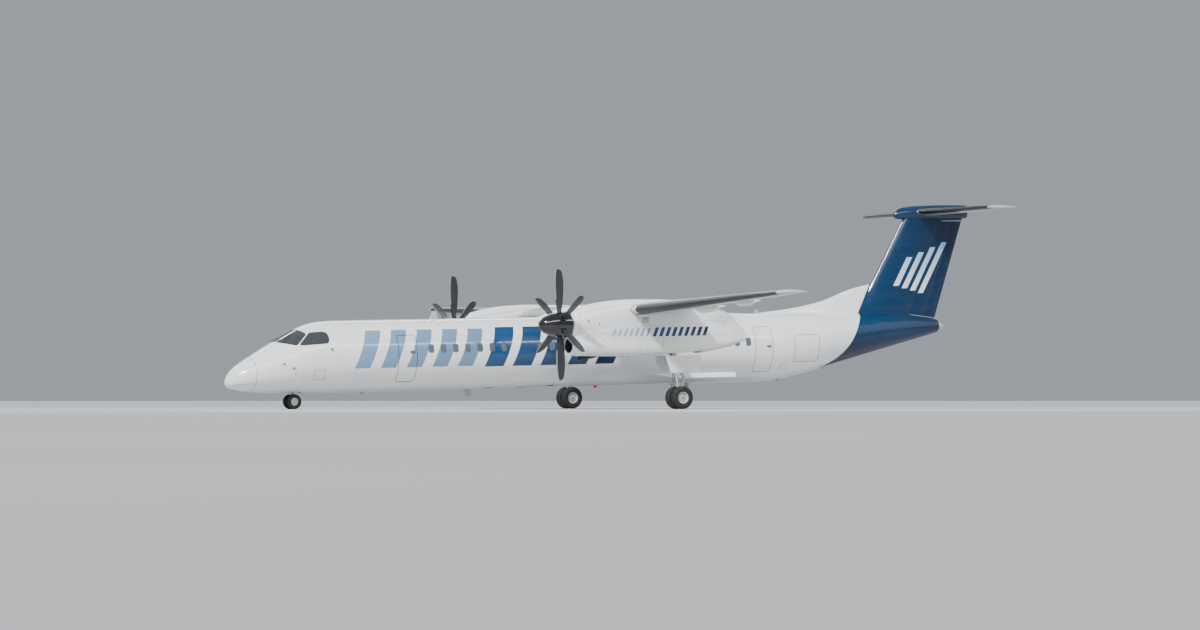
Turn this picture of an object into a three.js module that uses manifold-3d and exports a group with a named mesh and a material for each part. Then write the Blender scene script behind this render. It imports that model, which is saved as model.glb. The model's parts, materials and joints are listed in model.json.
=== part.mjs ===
// High-wing twin turboprop airliner with a T-tail, standing on its three landing-gear legs.
// Millimetres. Inside the airframe group x is the station aft of the nose tip, y points to starboard
// and z is the height above the centreline of the round cabin. The airframe stands slightly nose down.

import * as THREE from 'three';
import { mergeVertices } from 'three/addons/utils/BufferGeometryUtils.js';
import Module from 'manifold-3d';

const wasm = await Module();
wasm.setup();

// Driving dimensions: cabin, stance and landing gear
const CABIN_RADIUS = 1345;
const BODY_FACETS = 36;
const STANCE_PITCH = THREE.MathUtils.degToRad(1.5);
const CABIN_HEIGHT = 2270;
const MAIN_STATION = 16600;
const WHEELBASE = 13940;
const NOSE_STATION = MAIN_STATION - WHEELBASE;
const NACELLE_OUT = 4395;
const MAIN_TYRE = { radius: 432, width: 273, rim: 215, apart: 450, facets: 24 };
const NOSE_TYRE = { radius: 279.5, width: 165, rim: 135, apart: 350, facets: 20 };

// Driving dimensions: wing and tail
const WING_LEAD = 14270;
const WING_CHORD = 2750;
const WING_HEIGHT = 1470;
const WING_DEEP = 495;
const WING_CAMBER = 0.016;
const TIP_OUT = 14210;
const TIP_LEAD = 15200;
const TIP_CHORD = 1200;
const TIP_DEEP = 156;
const DIHEDRAL = THREE.MathUtils.degToRad(2.5);
const FLAP_START = 0.575;
const FLAP_SHROUD = 0.76;
const FLAP_INNER_OUT = 1600;
const FLAP_OUTER_OUT = 10000;
const AILERON_IN = 10150;
const AILERON_OUT = 13850;
const AILERON_HINGE = 0.73;
const BOOT_SHARE = 0.075;
const BOOT_OUT = 13900;
const TAIL_HEIGHT = 5330;
const TAIL_OUT = 4635;
const ELEVATOR_HINGE = 31720;

// Driving dimensions: propeller
const PROP_STATION = 11560;
const PROP_HEIGHT = 990;
const PROP_RADIUS = 2055;
const SPINNER_TIP = 10710;
const SPINNER_BASE = 11875;
const SPINNER_RADIUS = 490;
const BLADES = 6;

// Clearances: between seated pieces, around moving edges, and skin thickness of the doors
const SEAT = 0.3;
const RUN = 8;
const SKIN = 45;
const FAR = 40000;

// Small helpers on lists, points and solids
const range = (count) => Array.from({ length: count }, (_, i) => i);
const add = (p, q, k = 1) => p.map((v, i) => v + k * q[i]);
const minus = (p, q) => p.map((v, i) => v - q[i]);
const length = (p) => Math.hypot(...p);
const unit = (p) => p.map((v) => v / length(p));
const mix = (a, b, t) => a + (b - a) * t;
const cut = (body, ...tools) => tools.reduce((left, tool) => left.subtract(tool), body);
const join = (body, ...others) => others.reduce((sum, other) => sum.add(other), body);
const common = (body, ...others) => others.reduce((left, other) => left.intersect(other), body);

function solid(points, triangles) {
  let volume = 0;
  for (let i = 0; i < triangles.length; i += 3) {
    const [a, b, c] = [points[triangles[i]], points[triangles[i + 1]], points[triangles[i + 2]]];
    volume += a[0] * (b[1] * c[2] - b[2] * c[1]);
    volume -= a[1] * (b[0] * c[2] - b[2] * c[0]);
    volume += a[2] * (b[0] * c[1] - b[1] * c[0]);
  }
  const outward = volume < 0 ? triangles.toReversed() : triangles;
  return new wasm.Manifold(new wasm.Mesh({
    numProp: 3,
    vertProperties: new Float32Array(points.flat()),
    triVerts: new Uint32Array(outward),
  }));
}

// Triangles that close a ring of points, running the way that the ring does
function capTriangles(ring) {
  const normal = new THREE.Vector3();
  const centre = ring.reduce((sum, p) => add(sum, p, 1 / ring.length), [0, 0, 0]);
  const arms = ring.map((p) => new THREE.Vector3(...minus(p, centre)));
  arms.forEach((arm, i) => normal.add(arm.clone().cross(arms[(i + 1) % arms.length])));
  normal.normalize();
  const across = arms[0].clone().projectOnPlane(normal).normalize();
  const along = normal.clone().cross(across);
  const flat = arms.map((arm) => new THREE.Vector2(arm.dot(across), arm.dot(along)));
  const faces = THREE.ShapeUtils.triangulateShape(flat, []);
  const forward = faces.some(([a, b, c]) => [[a, b], [b, c], [c, a]]
    .some(([p, q]) => q === (p + 1) % ring.length));
  return faces.flatMap((face) => (forward ? face : face.toReversed()));
}

// A closed body through rings of equal counts; a ring of one point is a tip
function loft(rings) {
  const starts = [];
  let count = 0;
  rings.forEach((ring) => {
    starts.push(count);
    count += ring.length;
  });
  const triangles = [];
  for (let k = 0; k + 1 < rings.length; k += 1) {
    const [a, b] = [starts[k], starts[k + 1]];
    const [tipBelow, tipAbove] = [rings[k].length === 1, rings[k + 1].length === 1];
    const steps = Math.max(rings[k].length, rings[k + 1].length);
    range(steps).forEach((i) => {
      const j = (i + 1) % steps;
      if (!tipBelow) triangles.push(a + i, a + j, tipAbove ? b : b + j);
      if (!tipAbove) triangles.push(tipBelow ? a : a + i, b + j, b + i);
    });
  }
  const [first, last] = [rings[0], rings.at(-1)];
  if (first.length > 1) triangles.push(...capTriangles(first).toReversed());
  if (last.length > 1) triangles.push(...capTriangles(last).map((i) => starts.at(-1) + i));
  return solid(rings.flat(), triangles);
}

function fromGeometry(geometry) {
  const bare = geometry.clone();
  bare.deleteAttribute('normal');
  bare.deleteAttribute('uv');
  const merged = mergeVertices(bare, 1e-3);
  const place = merged.attributes.position;
  const points = range(place.count).map((i) => [place.getX(i), place.getY(i), place.getZ(i)]);
  const triangles = [];
  const index = merged.index.array;
  for (let i = 0; i < index.length; i += 3) {
    const [a, b, c] = [index[i], index[i + 1], index[i + 2]];
    if (a !== b && b !== c && c !== a) triangles.push(a, b, c);
  }
  return solid(points, triangles);
}

function box(low, high) {
  const geometry = new THREE.BoxGeometry(...minus(high, low));
  geometry.translate(...low.map((v, i) => (v + high[i]) / 2));
  return fromGeometry(geometry);
}

// A round bar between two points, with another radius at its end if it tapers
function bar(from, to, radius, facets = 12, endRadius = radius) {
  const along = new THREE.Vector3(...minus(to, from)).normalize();
  const helper = Math.abs(along.z) < 0.9 ? new THREE.Vector3(0, 0, 1) : new THREE.Vector3(1, 0, 0);
  const across = helper.cross(along).normalize();
  const up = along.clone().cross(across);
  const ring = (centre, r) => range(facets).map((i) => {
    const turn = (2 * Math.PI * i) / facets;
    const arm = across.clone().multiplyScalar(r * Math.cos(turn)).addScaledVector(up, r * Math.sin(turn));
    return add(centre, arm.toArray());
  });
  return loft([ring(from, radius), ring(to, endRadius)]);
}

// The close seat of a bar that stays still, and the hole that a bar of the same facets turns in
const seat = (from, to, radius, facets = 12) => bar(from, to, radius + SEAT, facets);
const bore = (from, to, radius, facets = 12) =>
  bar(from, to, (radius + SEAT) / Math.cos(Math.PI / facets), facets);

// Upright prisms over an outline seen from the side (x, z) or from above (x, y)
const sidePrism = (outline, left, right) =>
  loft([left, right].map((y) => outline.map(([x, z]) => [x, y, z])));
const planPrism = (outline, low, high) =>
  loft([low, high].map((z) => outline.map(([x, y]) => [x, y, z])));

// An outline moved outwards by a distance, or inwards where that is negative
function offset(outline, distance) {
  const area = outline.reduce((sum, [x, y], i) => {
    const [u, v] = outline[(i + 1) % outline.length];
    return sum + x * v - u * y;
  }, 0);
  const sign = Math.sign(area) * distance;
  const edges = outline.map((p, i) => {
    const step = unit(minus(outline[(i + 1) % outline.length], p));
    return { start: [p[0] + step[1] * sign, p[1] - step[0] * sign], step };
  });
  return edges.map((edge, i) => {
    const before = edges.at(i - 1);
    const cross = before.step[0] * edge.step[1] - before.step[1] * edge.step[0];
    const gap = minus(edge.start, before.start);
    const run = (gap[0] * edge.step[1] - gap[1] * edge.step[0]) / cross;
    return add(before.start, before.step, run);
  });
}

// Finds a value of a table whose rows have a station "at"
function lookUp(rows, at, key) {
  const next = Math.max(1, rows.findIndex((row) => row.at >= at));
  const [a, b] = [rows[next - 1], rows[next]];
  return mix(a[key], b[key], (at - a.at) / (b.at - a.at));
}

// Cabin, nose and tail: each section is an ellipse between a top and a bottom height
const bodySections = [
  { at: 60, top: -672, bottom: -1010, half: 190 },
  { at: 190, top: -480, bottom: -1082, half: 345 },
  { at: 400, top: -288, bottom: -1138, half: 500 },
  { at: 810, top: -25, bottom: -1212, half: 705 },
  { at: 1410, top: 314, bottom: -1256, half: 900 },
  { at: 2220, top: 748, bottom: -1290, half: 1085 },
  { at: 2940, top: 1110, bottom: -1312, half: 1205 },
  { at: 3400, top: 1255, bottom: -1325, half: 1262 },
  { at: 3900, top: 1325, bottom: -1338, half: 1310 },
  { at: 4700, top: 1345, bottom: -1345, half: 1345 },
  { at: 22600, top: 1345, bottom: -1345, half: 1345 },
  { at: 23700, top: 1345, bottom: -1250, half: 1298 },
  { at: 25000, top: 1343, bottom: -1013, half: 1180 },
  { at: 27100, top: 1287, bottom: -537, half: 915 },
  { at: 29160, top: 1220, bottom: -52, half: 638 },
  { at: 30600, top: 1065, bottom: 285, half: 398 },
  { at: 31200, top: 978, bottom: 432, half: 280 },
];
const NOSE_TIP = [0, 0, -870];
const RADOME_END = 960;
const BODY_END = 31200;

function ellipse(at, centre, rise, half, facets) {
  return range(facets).map((i) => {
    const turn = (2 * Math.PI * i) / facets;
    return [at, half * Math.sin(turn), centre + rise * Math.cos(turn)];
  });
}

function bodyHull(grow) {
  const rings = bodySections.map(({ at, top, bottom, half }) =>
    ellipse(at, (top + bottom) / 2, (top - bottom) / 2 + grow, half + grow, BODY_FACETS));
  return loft([[add(NOSE_TIP, [-grow, 0, 0])], ...rings]);
}

function bellyHeight(at, y) {
  const [top, bottom, half] = ['top', 'bottom', 'half'].map((key) => lookUp(bodySections, at, key));
  return (top + bottom) / 2 - ((top - bottom) / 2) * Math.sqrt(1 - (y / half) ** 2);
}

// Wing and tail sections: a symmetrical thickness form on a curved mean line, as shares of the chord
function foilHalf(share) {
  const root = 0.2969 * Math.sqrt(share) - 0.126 * share;
  return 5 * (root - 0.3516 * share ** 2 + 0.2843 * share ** 3 - 0.1015 * share ** 4);
}

const foilMean = (share, camber) => 4 * camber * share * (1 - share);

function foil({ chord, deep, camber = 0 }, grow = 0, steps = 7) {
  const shares = range(steps + 1).map((i) => (1 - Math.cos((Math.PI * i) / steps)) / 2);
  const side = (share, sign) => [
    mix(-grow, chord + grow, share),
    chord * foilMean(share, camber) + sign * (deep * foilHalf(share) + grow),
  ];
  const under = shares.slice(grow ? 0 : 1).map((s) => side(s, -1));
  return [...shares.toReversed().map((s) => side(s, 1)), ...under];
}

// Wing stations from the centreline to the tip
const tipHeight = WING_HEIGHT + (TIP_OUT - NACELLE_OUT) * Math.tan(DIHEDRAL);
const wingStations = [
  { at: 0, lead: WING_LEAD, chord: WING_CHORD, deep: WING_DEEP, height: WING_HEIGHT },
  { at: NACELLE_OUT, lead: WING_LEAD, chord: WING_CHORD, deep: WING_DEEP, height: WING_HEIGHT },
  { at: TIP_OUT, lead: TIP_LEAD, chord: TIP_CHORD, deep: TIP_DEEP, height: tipHeight },
];

function wingAt(out) {
  const keys = ['lead', 'chord', 'deep', 'height'];
  const station = Object.fromEntries(keys.map((key) => [key, lookUp(wingStations, out, key)]));
  return { ...station, out, camber: WING_CAMBER };
}

const wingPoint = (station, side, share, rise) =>
  [station.lead + share * station.chord, side * station.out, station.height + rise];

function wingPanel(side, outs, grow = 0) {
  return loft(outs.map((out) => {
    const station = wingAt(out);
    return foil(station, grow).map(([x, z]) => [station.lead + x, side * out, station.height + z]);
  }));
}

// The wing tip closes over its last hand's breadth
const TIP_CLOSE = 110;
function wingTip(side) {
  const rings = [
    { out: TIP_OUT - TIP_CLOSE, wide: 1, thin: 1 },
    { out: TIP_OUT - TIP_CLOSE / 3, wide: 0.96, thin: 0.7 },
    { out: TIP_OUT, wide: 0.86, thin: 0.25 },
  ];
  return loft(rings.map(({ out, wide, thin }) => {
    const station = wingAt(out);
    return foil(station).map(([x, z]) => [
      station.lead + station.chord * (1 - wide) + x * wide,
      side * out,
      station.height + z * thin,
    ]);
  }));
}

// Moving surface behind a hinge line: its end sections give hinge point, nose radius and trailing edge
const ARC = 4;
const COVE_LIP = 0.35;
const COVE_SWELL = 1.06;

// A section is described in its own plane: hinge x, mid height, nose radius and trailing edge
const surfaceOutline = ({ hinge, mid, nose, trail, edge }) => [
  ...range(ARC + 1).map((i) => {
    const turn = Math.PI * (0.5 + i / ARC);
    return [hinge + nose * Math.cos(turn), mid + nose * Math.sin(turn)];
  }),
  [trail, mid + edge.drop - edge.half],
  [trail, mid + edge.drop + edge.half],
];

const coveOutline = ({ hinge, mid, nose, trail }) => {
  const reach = nose * COVE_SWELL + RUN;
  const start = Math.acos((-COVE_LIP * nose) / reach);
  const lip = hinge - COVE_LIP * nose;
  const arc = range(ARC + 1).map((i) => {
    const turn = mix(start, 2 * Math.PI - start, i / ARC);
    return [hinge + reach * Math.cos(turn), mid + reach * Math.sin(turn)];
  });
  const tall = 4 * nose + 200;
  return [[lip, mid + tall], ...arc, [lip, mid - tall], [trail + 400, mid - tall], [trail + 400, mid + tall]];
};

function surfaceSection({ chord, deep, camber = 0 }, share) {
  const half = foilHalf(share) * deep;
  const mid = foilMean(share, camber) * chord;
  return {
    hinge: share * chord,
    mid,
    nose: half * 0.985,
    trail: chord * 0.999,
    edge: { drop: foilMean(0.999, camber) * chord - mid, half: foilHalf(0.999) * deep },
  };
}

// A slab square to a line: forward and upright extents around a centre
function slab(centre, along, forward, half, low, high, tall) {
  const up = new THREE.Vector3(...along).cross(new THREE.Vector3(...forward)).toArray();
  const corners = [[low, -tall], [high, -tall], [high, tall], [low, tall]];
  return loft([-half, half].map((reach) =>
    corners.map(([x, z]) => add(add(add(centre, along, reach), forward, x), up, z))));
}

// A hinge on a line: a lug on the carrier stands in a slot of the moving piece, whose pin runs through it
const LUG = { half: 22, pin: 6, facets: 8, overlap: 40 };

function hinge([from, to], share, nose) {
  const along = unit(minus(to, from));
  const centre = add(from, minus(to, from), share);
  const ahead = [-1, 0, 0];
  const dot = along.reduce((sum, v, i) => sum + v * ahead[i], 0);
  const forward = unit(add(ahead, along, -dot));
  const span = (reach) => [add(centre, along, -reach), add(centre, along, reach)];
  const eye = nose * 0.7;
  const arm = slab(centre, along, forward, LUG.half, 0, nose + RUN + LUG.overlap, eye / 2);
  return {
    slot: slab(centre, along, forward, LUG.half + RUN, -eye - RUN, 2 * nose + 60, 2 * nose),
    lug: cut(join(bar(...span(LUG.half), eye, 6), arm), bore(...span(LUG.half + 15), LUG.pin, LUG.facets)),
    pin: bar(...span(LUG.half + RUN + 25), LUG.pin, LUG.facets),
  };
}

// Fits a moving surface to its carrier by a row of hinges, at shares of the hinge line
function hang(carrier, surface, line, shares, nose) {
  const hinges = shares.map((share) => hinge(line, share, nose));
  return {
    carrier: join(carrier, ...hinges.map((row) => row.lug)),
    surface: join(cut(surface, ...hinges.map((row) => row.slot)), ...hinges.map((row) => row.pin)),
  };
}

// Pins stand out of both ends of a door, on its hinge line, and turn in holes of the frame around it
const DOOR_PIN = { radius: 9, reach: 45, root: 70 };

function doorPins([from, to]) {
  const along = unit(minus(to, from));
  const { radius, reach, root } = DOOR_PIN;
  return [
    bar(add(from, along, -reach), add(from, along, root), radius, 12),
    bar(add(to, along, -root), add(to, along, reach), radius, 12),
  ];
}

function doorPinHoles([from, to]) {
  const along = unit(minus(to, from));
  const { radius, reach } = DOOR_PIN;
  return [
    bore(add(from, along, -reach - 5), add(from, along, 5 - RUN), radius, 12),
    bore(add(to, along, RUN - 5), add(to, along, reach + 5), radius, 12),
    bar(add(from, along, -RUN), add(to, along, RUN), radius + RUN, 12),
  ];
}

const HINGE_SHARES = [0.2, 0.8];
const hand = (side) => (side < 0 ? 'left' : 'right');

// Hinge lines, spin axes and faces that other equipment meets, in airframe coordinates
const pivots = {};
const faces = {};

// Wing: a centre section over the cabin and an outer panel each side of the engine nacelles
const nacelleSections = [
  { at: 11935, top: 1492, bottom: -100, half: 500, chin: 350, waist: 230, waistAt: 560, square: 2 },
  { at: 12120, top: 1560, bottom: -172, half: 515, chin: 400, waist: 330, waistAt: 560, square: 2 },
  { at: 12480, top: 1655, bottom: -205, half: 522, chin: 440, waist: 425, waistAt: 560, square: 2.1 },
  { at: 12980, top: 1762, bottom: -215, half: 520, chin: 470, waist: 485, waistAt: 560, square: 2.3 },
  { at: 13700, top: 1850, bottom: -225, half: 508, chin: 492, waist: 505, waistAt: 560, square: 2.7 },
  { at: 14560, top: 1890, bottom: -235, half: 500, chin: 500, waist: 500, waistAt: 600, square: 3.2 },
  { at: 16400, top: 1850, bottom: -240, half: 500, chin: 500, waist: 500, waistAt: 700, square: 3.4 },
  { at: 17400, top: 1718, bottom: -174, half: 494, chin: 494, waist: 494, waistAt: 735, square: 3.4 },
  { at: 18290, top: 1495, bottom: -50, half: 440, chin: 440, waist: 440, waistAt: 700, square: 2.906 },
  { at: 18600, top: 1395, bottom: 15, half: 425, chin: 425, waist: 425, waistAt: 680, square: 3.264 },
  { at: 18780, top: 1231, bottom: 52, half: 404, chin: 404, waist: 404, waistAt: 625, square: 3.621 },
  { at: 19050, top: 985, bottom: 138, half: 358, chin: 358, waist: 358, waistAt: 540, square: 3 },
  { at: 19450, top: 610, bottom: 250, half: 270, chin: 270, waist: 270, waistAt: 430, square: 2.4 },
];
const NACELLE_STEPS = 12;
const UPPER_LAP = 70;
const CHIN_LAP = 40;

// Half width of a nacelle section at a height: an upper oval, a chin oval and a waist between them
function nacelleHalf(row, z) {
  const oval = (low, high, half) => {
    const middle = (low + high) / 2;
    const off = Math.abs(z - middle) / ((high - low) / 2);
    return off >= 1 ? 0 : half * (1 - off ** row.square) ** (1 / row.square);
  };
  const whole = oval(row.bottom, row.top, Math.min(row.half, row.chin, row.waist));
  const upper = oval(row.waistAt - UPPER_LAP, row.top, row.half);
  const chin = oval(row.bottom, row.waistAt + CHIN_LAP, row.chin);
  return Math.max(whole, upper, chin);
}

function nacelleRing(row, side, grow) {
  const up = range(NACELLE_STEPS + 1).map((i) => (1 - Math.cos((Math.PI * i) / NACELLE_STEPS)) / 2);
  const point = (share, way) => {
    const z = mix(row.bottom, row.top, share);
    const half = Math.max(nacelleHalf(row, z), 0);
    return [row.at, side * NACELLE_OUT + way * (half + (share > 0 && share < 1 ? grow : 0)),
      z + grow * (2 * share - 1)];
  };
  return [...up.map((s) => point(s, 1)), ...up.slice(1, -1).toReversed().map((s) => point(s, -1))];
}

function nacelleHull(side, grow = 0) {
  return loft(nacelleSections.map((row, i) => {
    const ends = i === 0 ? -grow : grow * (i === nacelleSections.length - 1);
    return nacelleRing({ ...row, at: row.at + ends }, side, grow);
  }));
}

function nacelleBelly(at, y) {
  const keys = ['bottom', 'chin', 'waistAt', 'square'];
  const [bottom, chin, waistAt, square] = keys.map((key) => lookUp(nacelleSections, at, key));
  const middle = (bottom + waistAt + CHIN_LAP) / 2;
  const share = (1 - (y / chin) ** square) ** (1 / square);
  return middle - (middle - bottom) * share;
}

// Slanted split between wing and flap: low in front under the wing, high further aft
function flapZone(side, inner, outer, slack) {
  return loft([inner, outer].map((out) => {
    const { lead, chord, height } = wingAt(out);
    const low = [lead + FLAP_START * chord + slack, height - 400];
    const high = [lead + FLAP_SHROUD * chord + slack, height + 400];
    const slope = (high[0] - low[0]) / (high[1] - low[1]);
    const at = (z) => low[0] + slope * (z - low[1]);
    const behind = lead + chord + 300;
    const corners = [[at(height - 400), height - 400], [at(height + 400), height + 400],
      [behind, height + 400], [behind, height - 400]];
    return corners.map(([x, z]) => [x, side * out, z]);
  }));
}

function bootZone(side, inner, outer, slack) {
  return planPrism([
    [wingAt(inner).lead - 500, side * inner],
    [wingAt(inner).lead + BOOT_SHARE * wingAt(inner).chord - slack, side * inner],
    [wingAt(outer).lead + BOOT_SHARE * wingAt(outer).chord - slack, side * outer],
    [wingAt(outer).lead - 500, side * outer],
  ], WING_HEIGHT - 600, WING_HEIGHT + 1200);
}

const FLAP_INNER_END = NACELLE_OUT;
const OUTER_ROOT = NACELLE_OUT;

// Streamlined fairings under the wing carry the flap hinges; their tips stand out behind the trailing edge
const flapFairings = [
  { out: 7000, forward: 1150, behind: 330, half: 75, deep: 150 },
  { out: 9880, forward: 900, behind: 300, half: 62, deep: 120 },
];

function flapFairing(side, { out, forward, behind, half, deep }) {
  const { lead, chord, height } = wingAt(out);
  const trail = lead + chord;
  const start = trail - forward;
  const rows = [
    { at: start, wide: 0.12, low: -0.03 * chord, high: 0 },
    { at: mix(start, trail, 0.3), wide: 0.85, low: -0.085 * chord - deep * 0.55, high: 20 },
    { at: mix(start, trail, 0.7), wide: 1, low: -0.04 * chord - deep, high: 15 },
    { at: trail, wide: 0.75, low: -deep * 0.75, high: 12 },
    { at: trail + behind, wide: 0.1, low: -deep * 0.25, high: -deep * 0.05 },
  ];
  return loft(rows.map(({ at, wide, low, high }) => range(8).map((i) => {
    const turn = (2 * Math.PI * i) / 8;
    const middle = height + (low + high) / 2;
    return [at, side * (out + half * wide * Math.sin(turn)), middle + ((high - low) / 2) * Math.cos(turn)];
  })));
}

const JACK_PAD = { out: 5700, share: 0.42, radius: 70, drop: 22 };

function wingParts(side) {
  const nacelle = nacelleHull(side, SEAT);
  const whole = join(wingPanel(side, [OUTER_ROOT, TIP_OUT - TIP_CLOSE]), wingTip(side));
  const outside = cut(whole, nacelle, boxBeside(side, NACELLE_OUT));
  const boot = common(outside, bootZone(side, OUTER_ROOT, BOOT_OUT, SEAT));
  const flapBody = common(outside, flapZone(side, OUTER_ROOT, FLAP_OUTER_OUT - RUN, SEAT));
  const end = { inner: AILERON_IN + 2 * RUN, outer: AILERON_OUT - 2 * RUN };
  const sections = [AILERON_IN, end.inner, end.outer, AILERON_OUT].map((out) => {
    const station = wingAt(out);
    return { station, section: surfaceSection(station, AILERON_HINGE) };
  });
  const place = ({ station }, outline) =>
    outline.map(([x, z]) => [station.lead + x, side * station.out, station.height + z]);
  const cove = loft([sections[0], sections[3]].map((row) => place(row, coveOutline(row.section))));
  const line = sections.map(({ station, section }) =>
    [station.lead + section.hinge, side * station.out, station.height + section.mid]);
  const blade = loft([sections[1], sections[2]].map((row) => place(row, surfaceOutline(row.section))));
  const fairings = flapFairings.map((row) => flapFairing(side, row));
  const padStation = wingAt(JACK_PAD.out);
  const mean = foilMean(JACK_PAD.share, WING_CAMBER) * padStation.chord;
  const under = mean - foilHalf(JACK_PAD.share) * padStation.deep;
  const padTop = wingPoint(padStation, side, JACK_PAD.share, under + 20);
  const padFoot = add(padTop, [0, 0, -20 - JACK_PAD.drop]);
  faces[`wing_jack_pad_${hand(side)}`] = { at: padFoot, out: [0, 0, -1] };
  pivots[`aileron_${hand(side)}`] = [line[1], line[2]];
  const flapClear = wingPanel(side, [OUTER_ROOT, TIP_OUT - TIP_CLOSE], SEAT);
  const flapSpace = common(flapClear, flapZone(side, OUTER_ROOT, FLAP_OUTER_OUT, 0));
  const panel = cut(
    outside,
    bootZone(side, OUTER_ROOT - 10, BOOT_OUT + SEAT, 0),
    flapZone(side, OUTER_ROOT - 10, FLAP_OUTER_OUT, 0),
    cove,
  );
  const arms = fairings.map((fairing) => cut(fairing, flapSpace));
  const hung = hang(panel, blade, [line[1], line[2]], HINGE_SHARES, sections[2].section.nose);
  return {
    panel: join(hung.carrier, bar(padTop, padFoot, JACK_PAD.radius), ...arms),
    boot,
    flap: flapBody,
    aileron: hung.surface,
  };
}

// Everything inboard of a distance from the centreline on one side
function boxBeside(side, out) {
  const ends = [side * -FAR, side * out].sort((a, b) => a - b);
  return box([-FAR, ends[0], -FAR], [FAR, ends[1], FAR]);
}

function wingCentre() {
  const outs = [-1, 1].map((side) => side * NACELLE_OUT);
  const panel = (grow) => loft(outs.map((y) => {
    const station = wingAt(Math.abs(y));
    return foil(station, grow).map(([x, z]) => [station.lead + x, y, station.height + z]);
  }));
  const nacelles = [-1, 1].map((side) => nacelleHull(side, SEAT));
  const whole = cut(panel(0), ...nacelles, box([0, NACELLE_OUT - 300, 0], [FAR, FAR, FAR]),
    box([0, -FAR, 0], [FAR, 300 - NACELLE_OUT, FAR]));
  const flaps = [-1, 1].map((side) =>
    common(whole, flapZone(side, FLAP_INNER_OUT + RUN, FLAP_INNER_END, SEAT)));
  const body = cut(whole, ...[-1, 1].map((side) => flapZone(side, FLAP_INNER_OUT, FLAP_INNER_END + 10, 0)));
  return { body, flaps, room: panel(SEAT) };
}

// Fairing in the corners between wing and cabin: rows give its rise above the cabin and its half angle
const fairingRows = [
  { at: 12950, rise: 8, half: 16 },
  { at: 13300, rise: 110, half: 34 },
  { at: 13750, rise: 270, half: 50 },
  { at: 14300, rise: 400, half: 61 },
  { at: 14900, rise: 440, half: 66 },
  { at: 17100, rise: 440, half: 67 },
  { at: 17900, rise: 350, half: 65 },
  { at: 19000, rise: 225, half: 58 },
  { at: 20300, rise: 105, half: 44 },
  { at: 21850, rise: 8, half: 18 },
];
const FAIRING_STEPS = 12;

function wingBodyFairing() {
  const rings = fairingRows.map(({ at, rise, half }) => {
    const shares = range(FAIRING_STEPS + 1).map((i) => -1 + (2 * i) / FAIRING_STEPS);
    const spot = (share, radius) => {
      const turn = THREE.MathUtils.degToRad(half * share);
      return [at, radius * Math.sin(turn), radius * Math.cos(turn)];
    };
    return [
      ...shares.map((share) => spot(share, CABIN_RADIUS + 3 + rise * (1 - share ** 4))),
      ...shares.toReversed().map((share) => spot(share, CABIN_RADIUS - 60)),
    ];
  });
  return loft(rings);
}

// Ventral strakes: a raised edge each side of the belly, sloping up at the front and blunt behind
const STRAKE = { start: 17530, full: 18500, end: 21100, angle: 46, half: 34, reach: 1590 };

function bellyStrake(side, room) {
  const turn = THREE.MathUtils.degToRad(STRAKE.angle);
  const out = [side * Math.cos(turn), -Math.sin(turn)];
  const across = [side * Math.sin(turn), Math.cos(turn)];
  const rows = [
    { at: STRAKE.start, reach: CABIN_RADIUS + 12 },
    { at: STRAKE.full, reach: STRAKE.reach },
    { at: STRAKE.end, reach: STRAKE.reach },
  ];
  const corners = [[0, -1.8], [1, -1], [1, 1], [0, 1.8]];
  const body = loft(rows.map(({ at, reach }) => corners.map(([far, wide]) => {
    const radius = mix(CABIN_RADIUS - 60, reach, far);
    return [at, ...add(out.map((v) => v * radius), across, wide * STRAKE.half)];
  })));
  return cut(body, room);
}

// Fin, dorsal fillet and two-piece rudder
const finEdges = [
  { at: 850, lead: 27170, trail: 31090, deep: 490 },
  { at: 5100, lead: 29760, trail: 32640, deep: 330 },
];
const RUDDER_HINGE = 0.66;
const TAB_HINGE = 0.85;
const RUDDER_BASE = { at: 29800, height: 1182, slope: -0.128 };
const RUDDER_TOP = 4985;
const RUDDER_GAP = 26;
const filletRows = [
  { at: 22800, top: 1352, base: 60 },
  { at: 24200, top: 1490, base: 170 },
  { at: 25700, top: 1760, base: 215 },
  { at: 27150, top: 2240, base: 240 },
  { at: 28400, top: 2500, base: 225 },
];

function finAt(height) {
  const [lead, trail, deep] = ['lead', 'trail', 'deep'].map((key) => lookUp(finEdges, height, key));
  return { lead, chord: trail - lead, deep, height };
}

const finPoint = ({ lead, height }, [x, y]) => [lead + x, y, height];

// The part of the tail that lies between the rudder's foot and its top edge
function rudderBand(clear) {
  const { at, height, slope } = RUDDER_BASE;
  const foot = (x) => height + slope * (x - at) - clear;
  return sidePrism([
    [at - 1500, foot(at - 1500)],
    [at + 3500, foot(at + 3500)],
    [at + 3500, RUDDER_TOP + clear],
    [at - 1500, RUDDER_TOP + clear],
  ], -600, 600);
}

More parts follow.
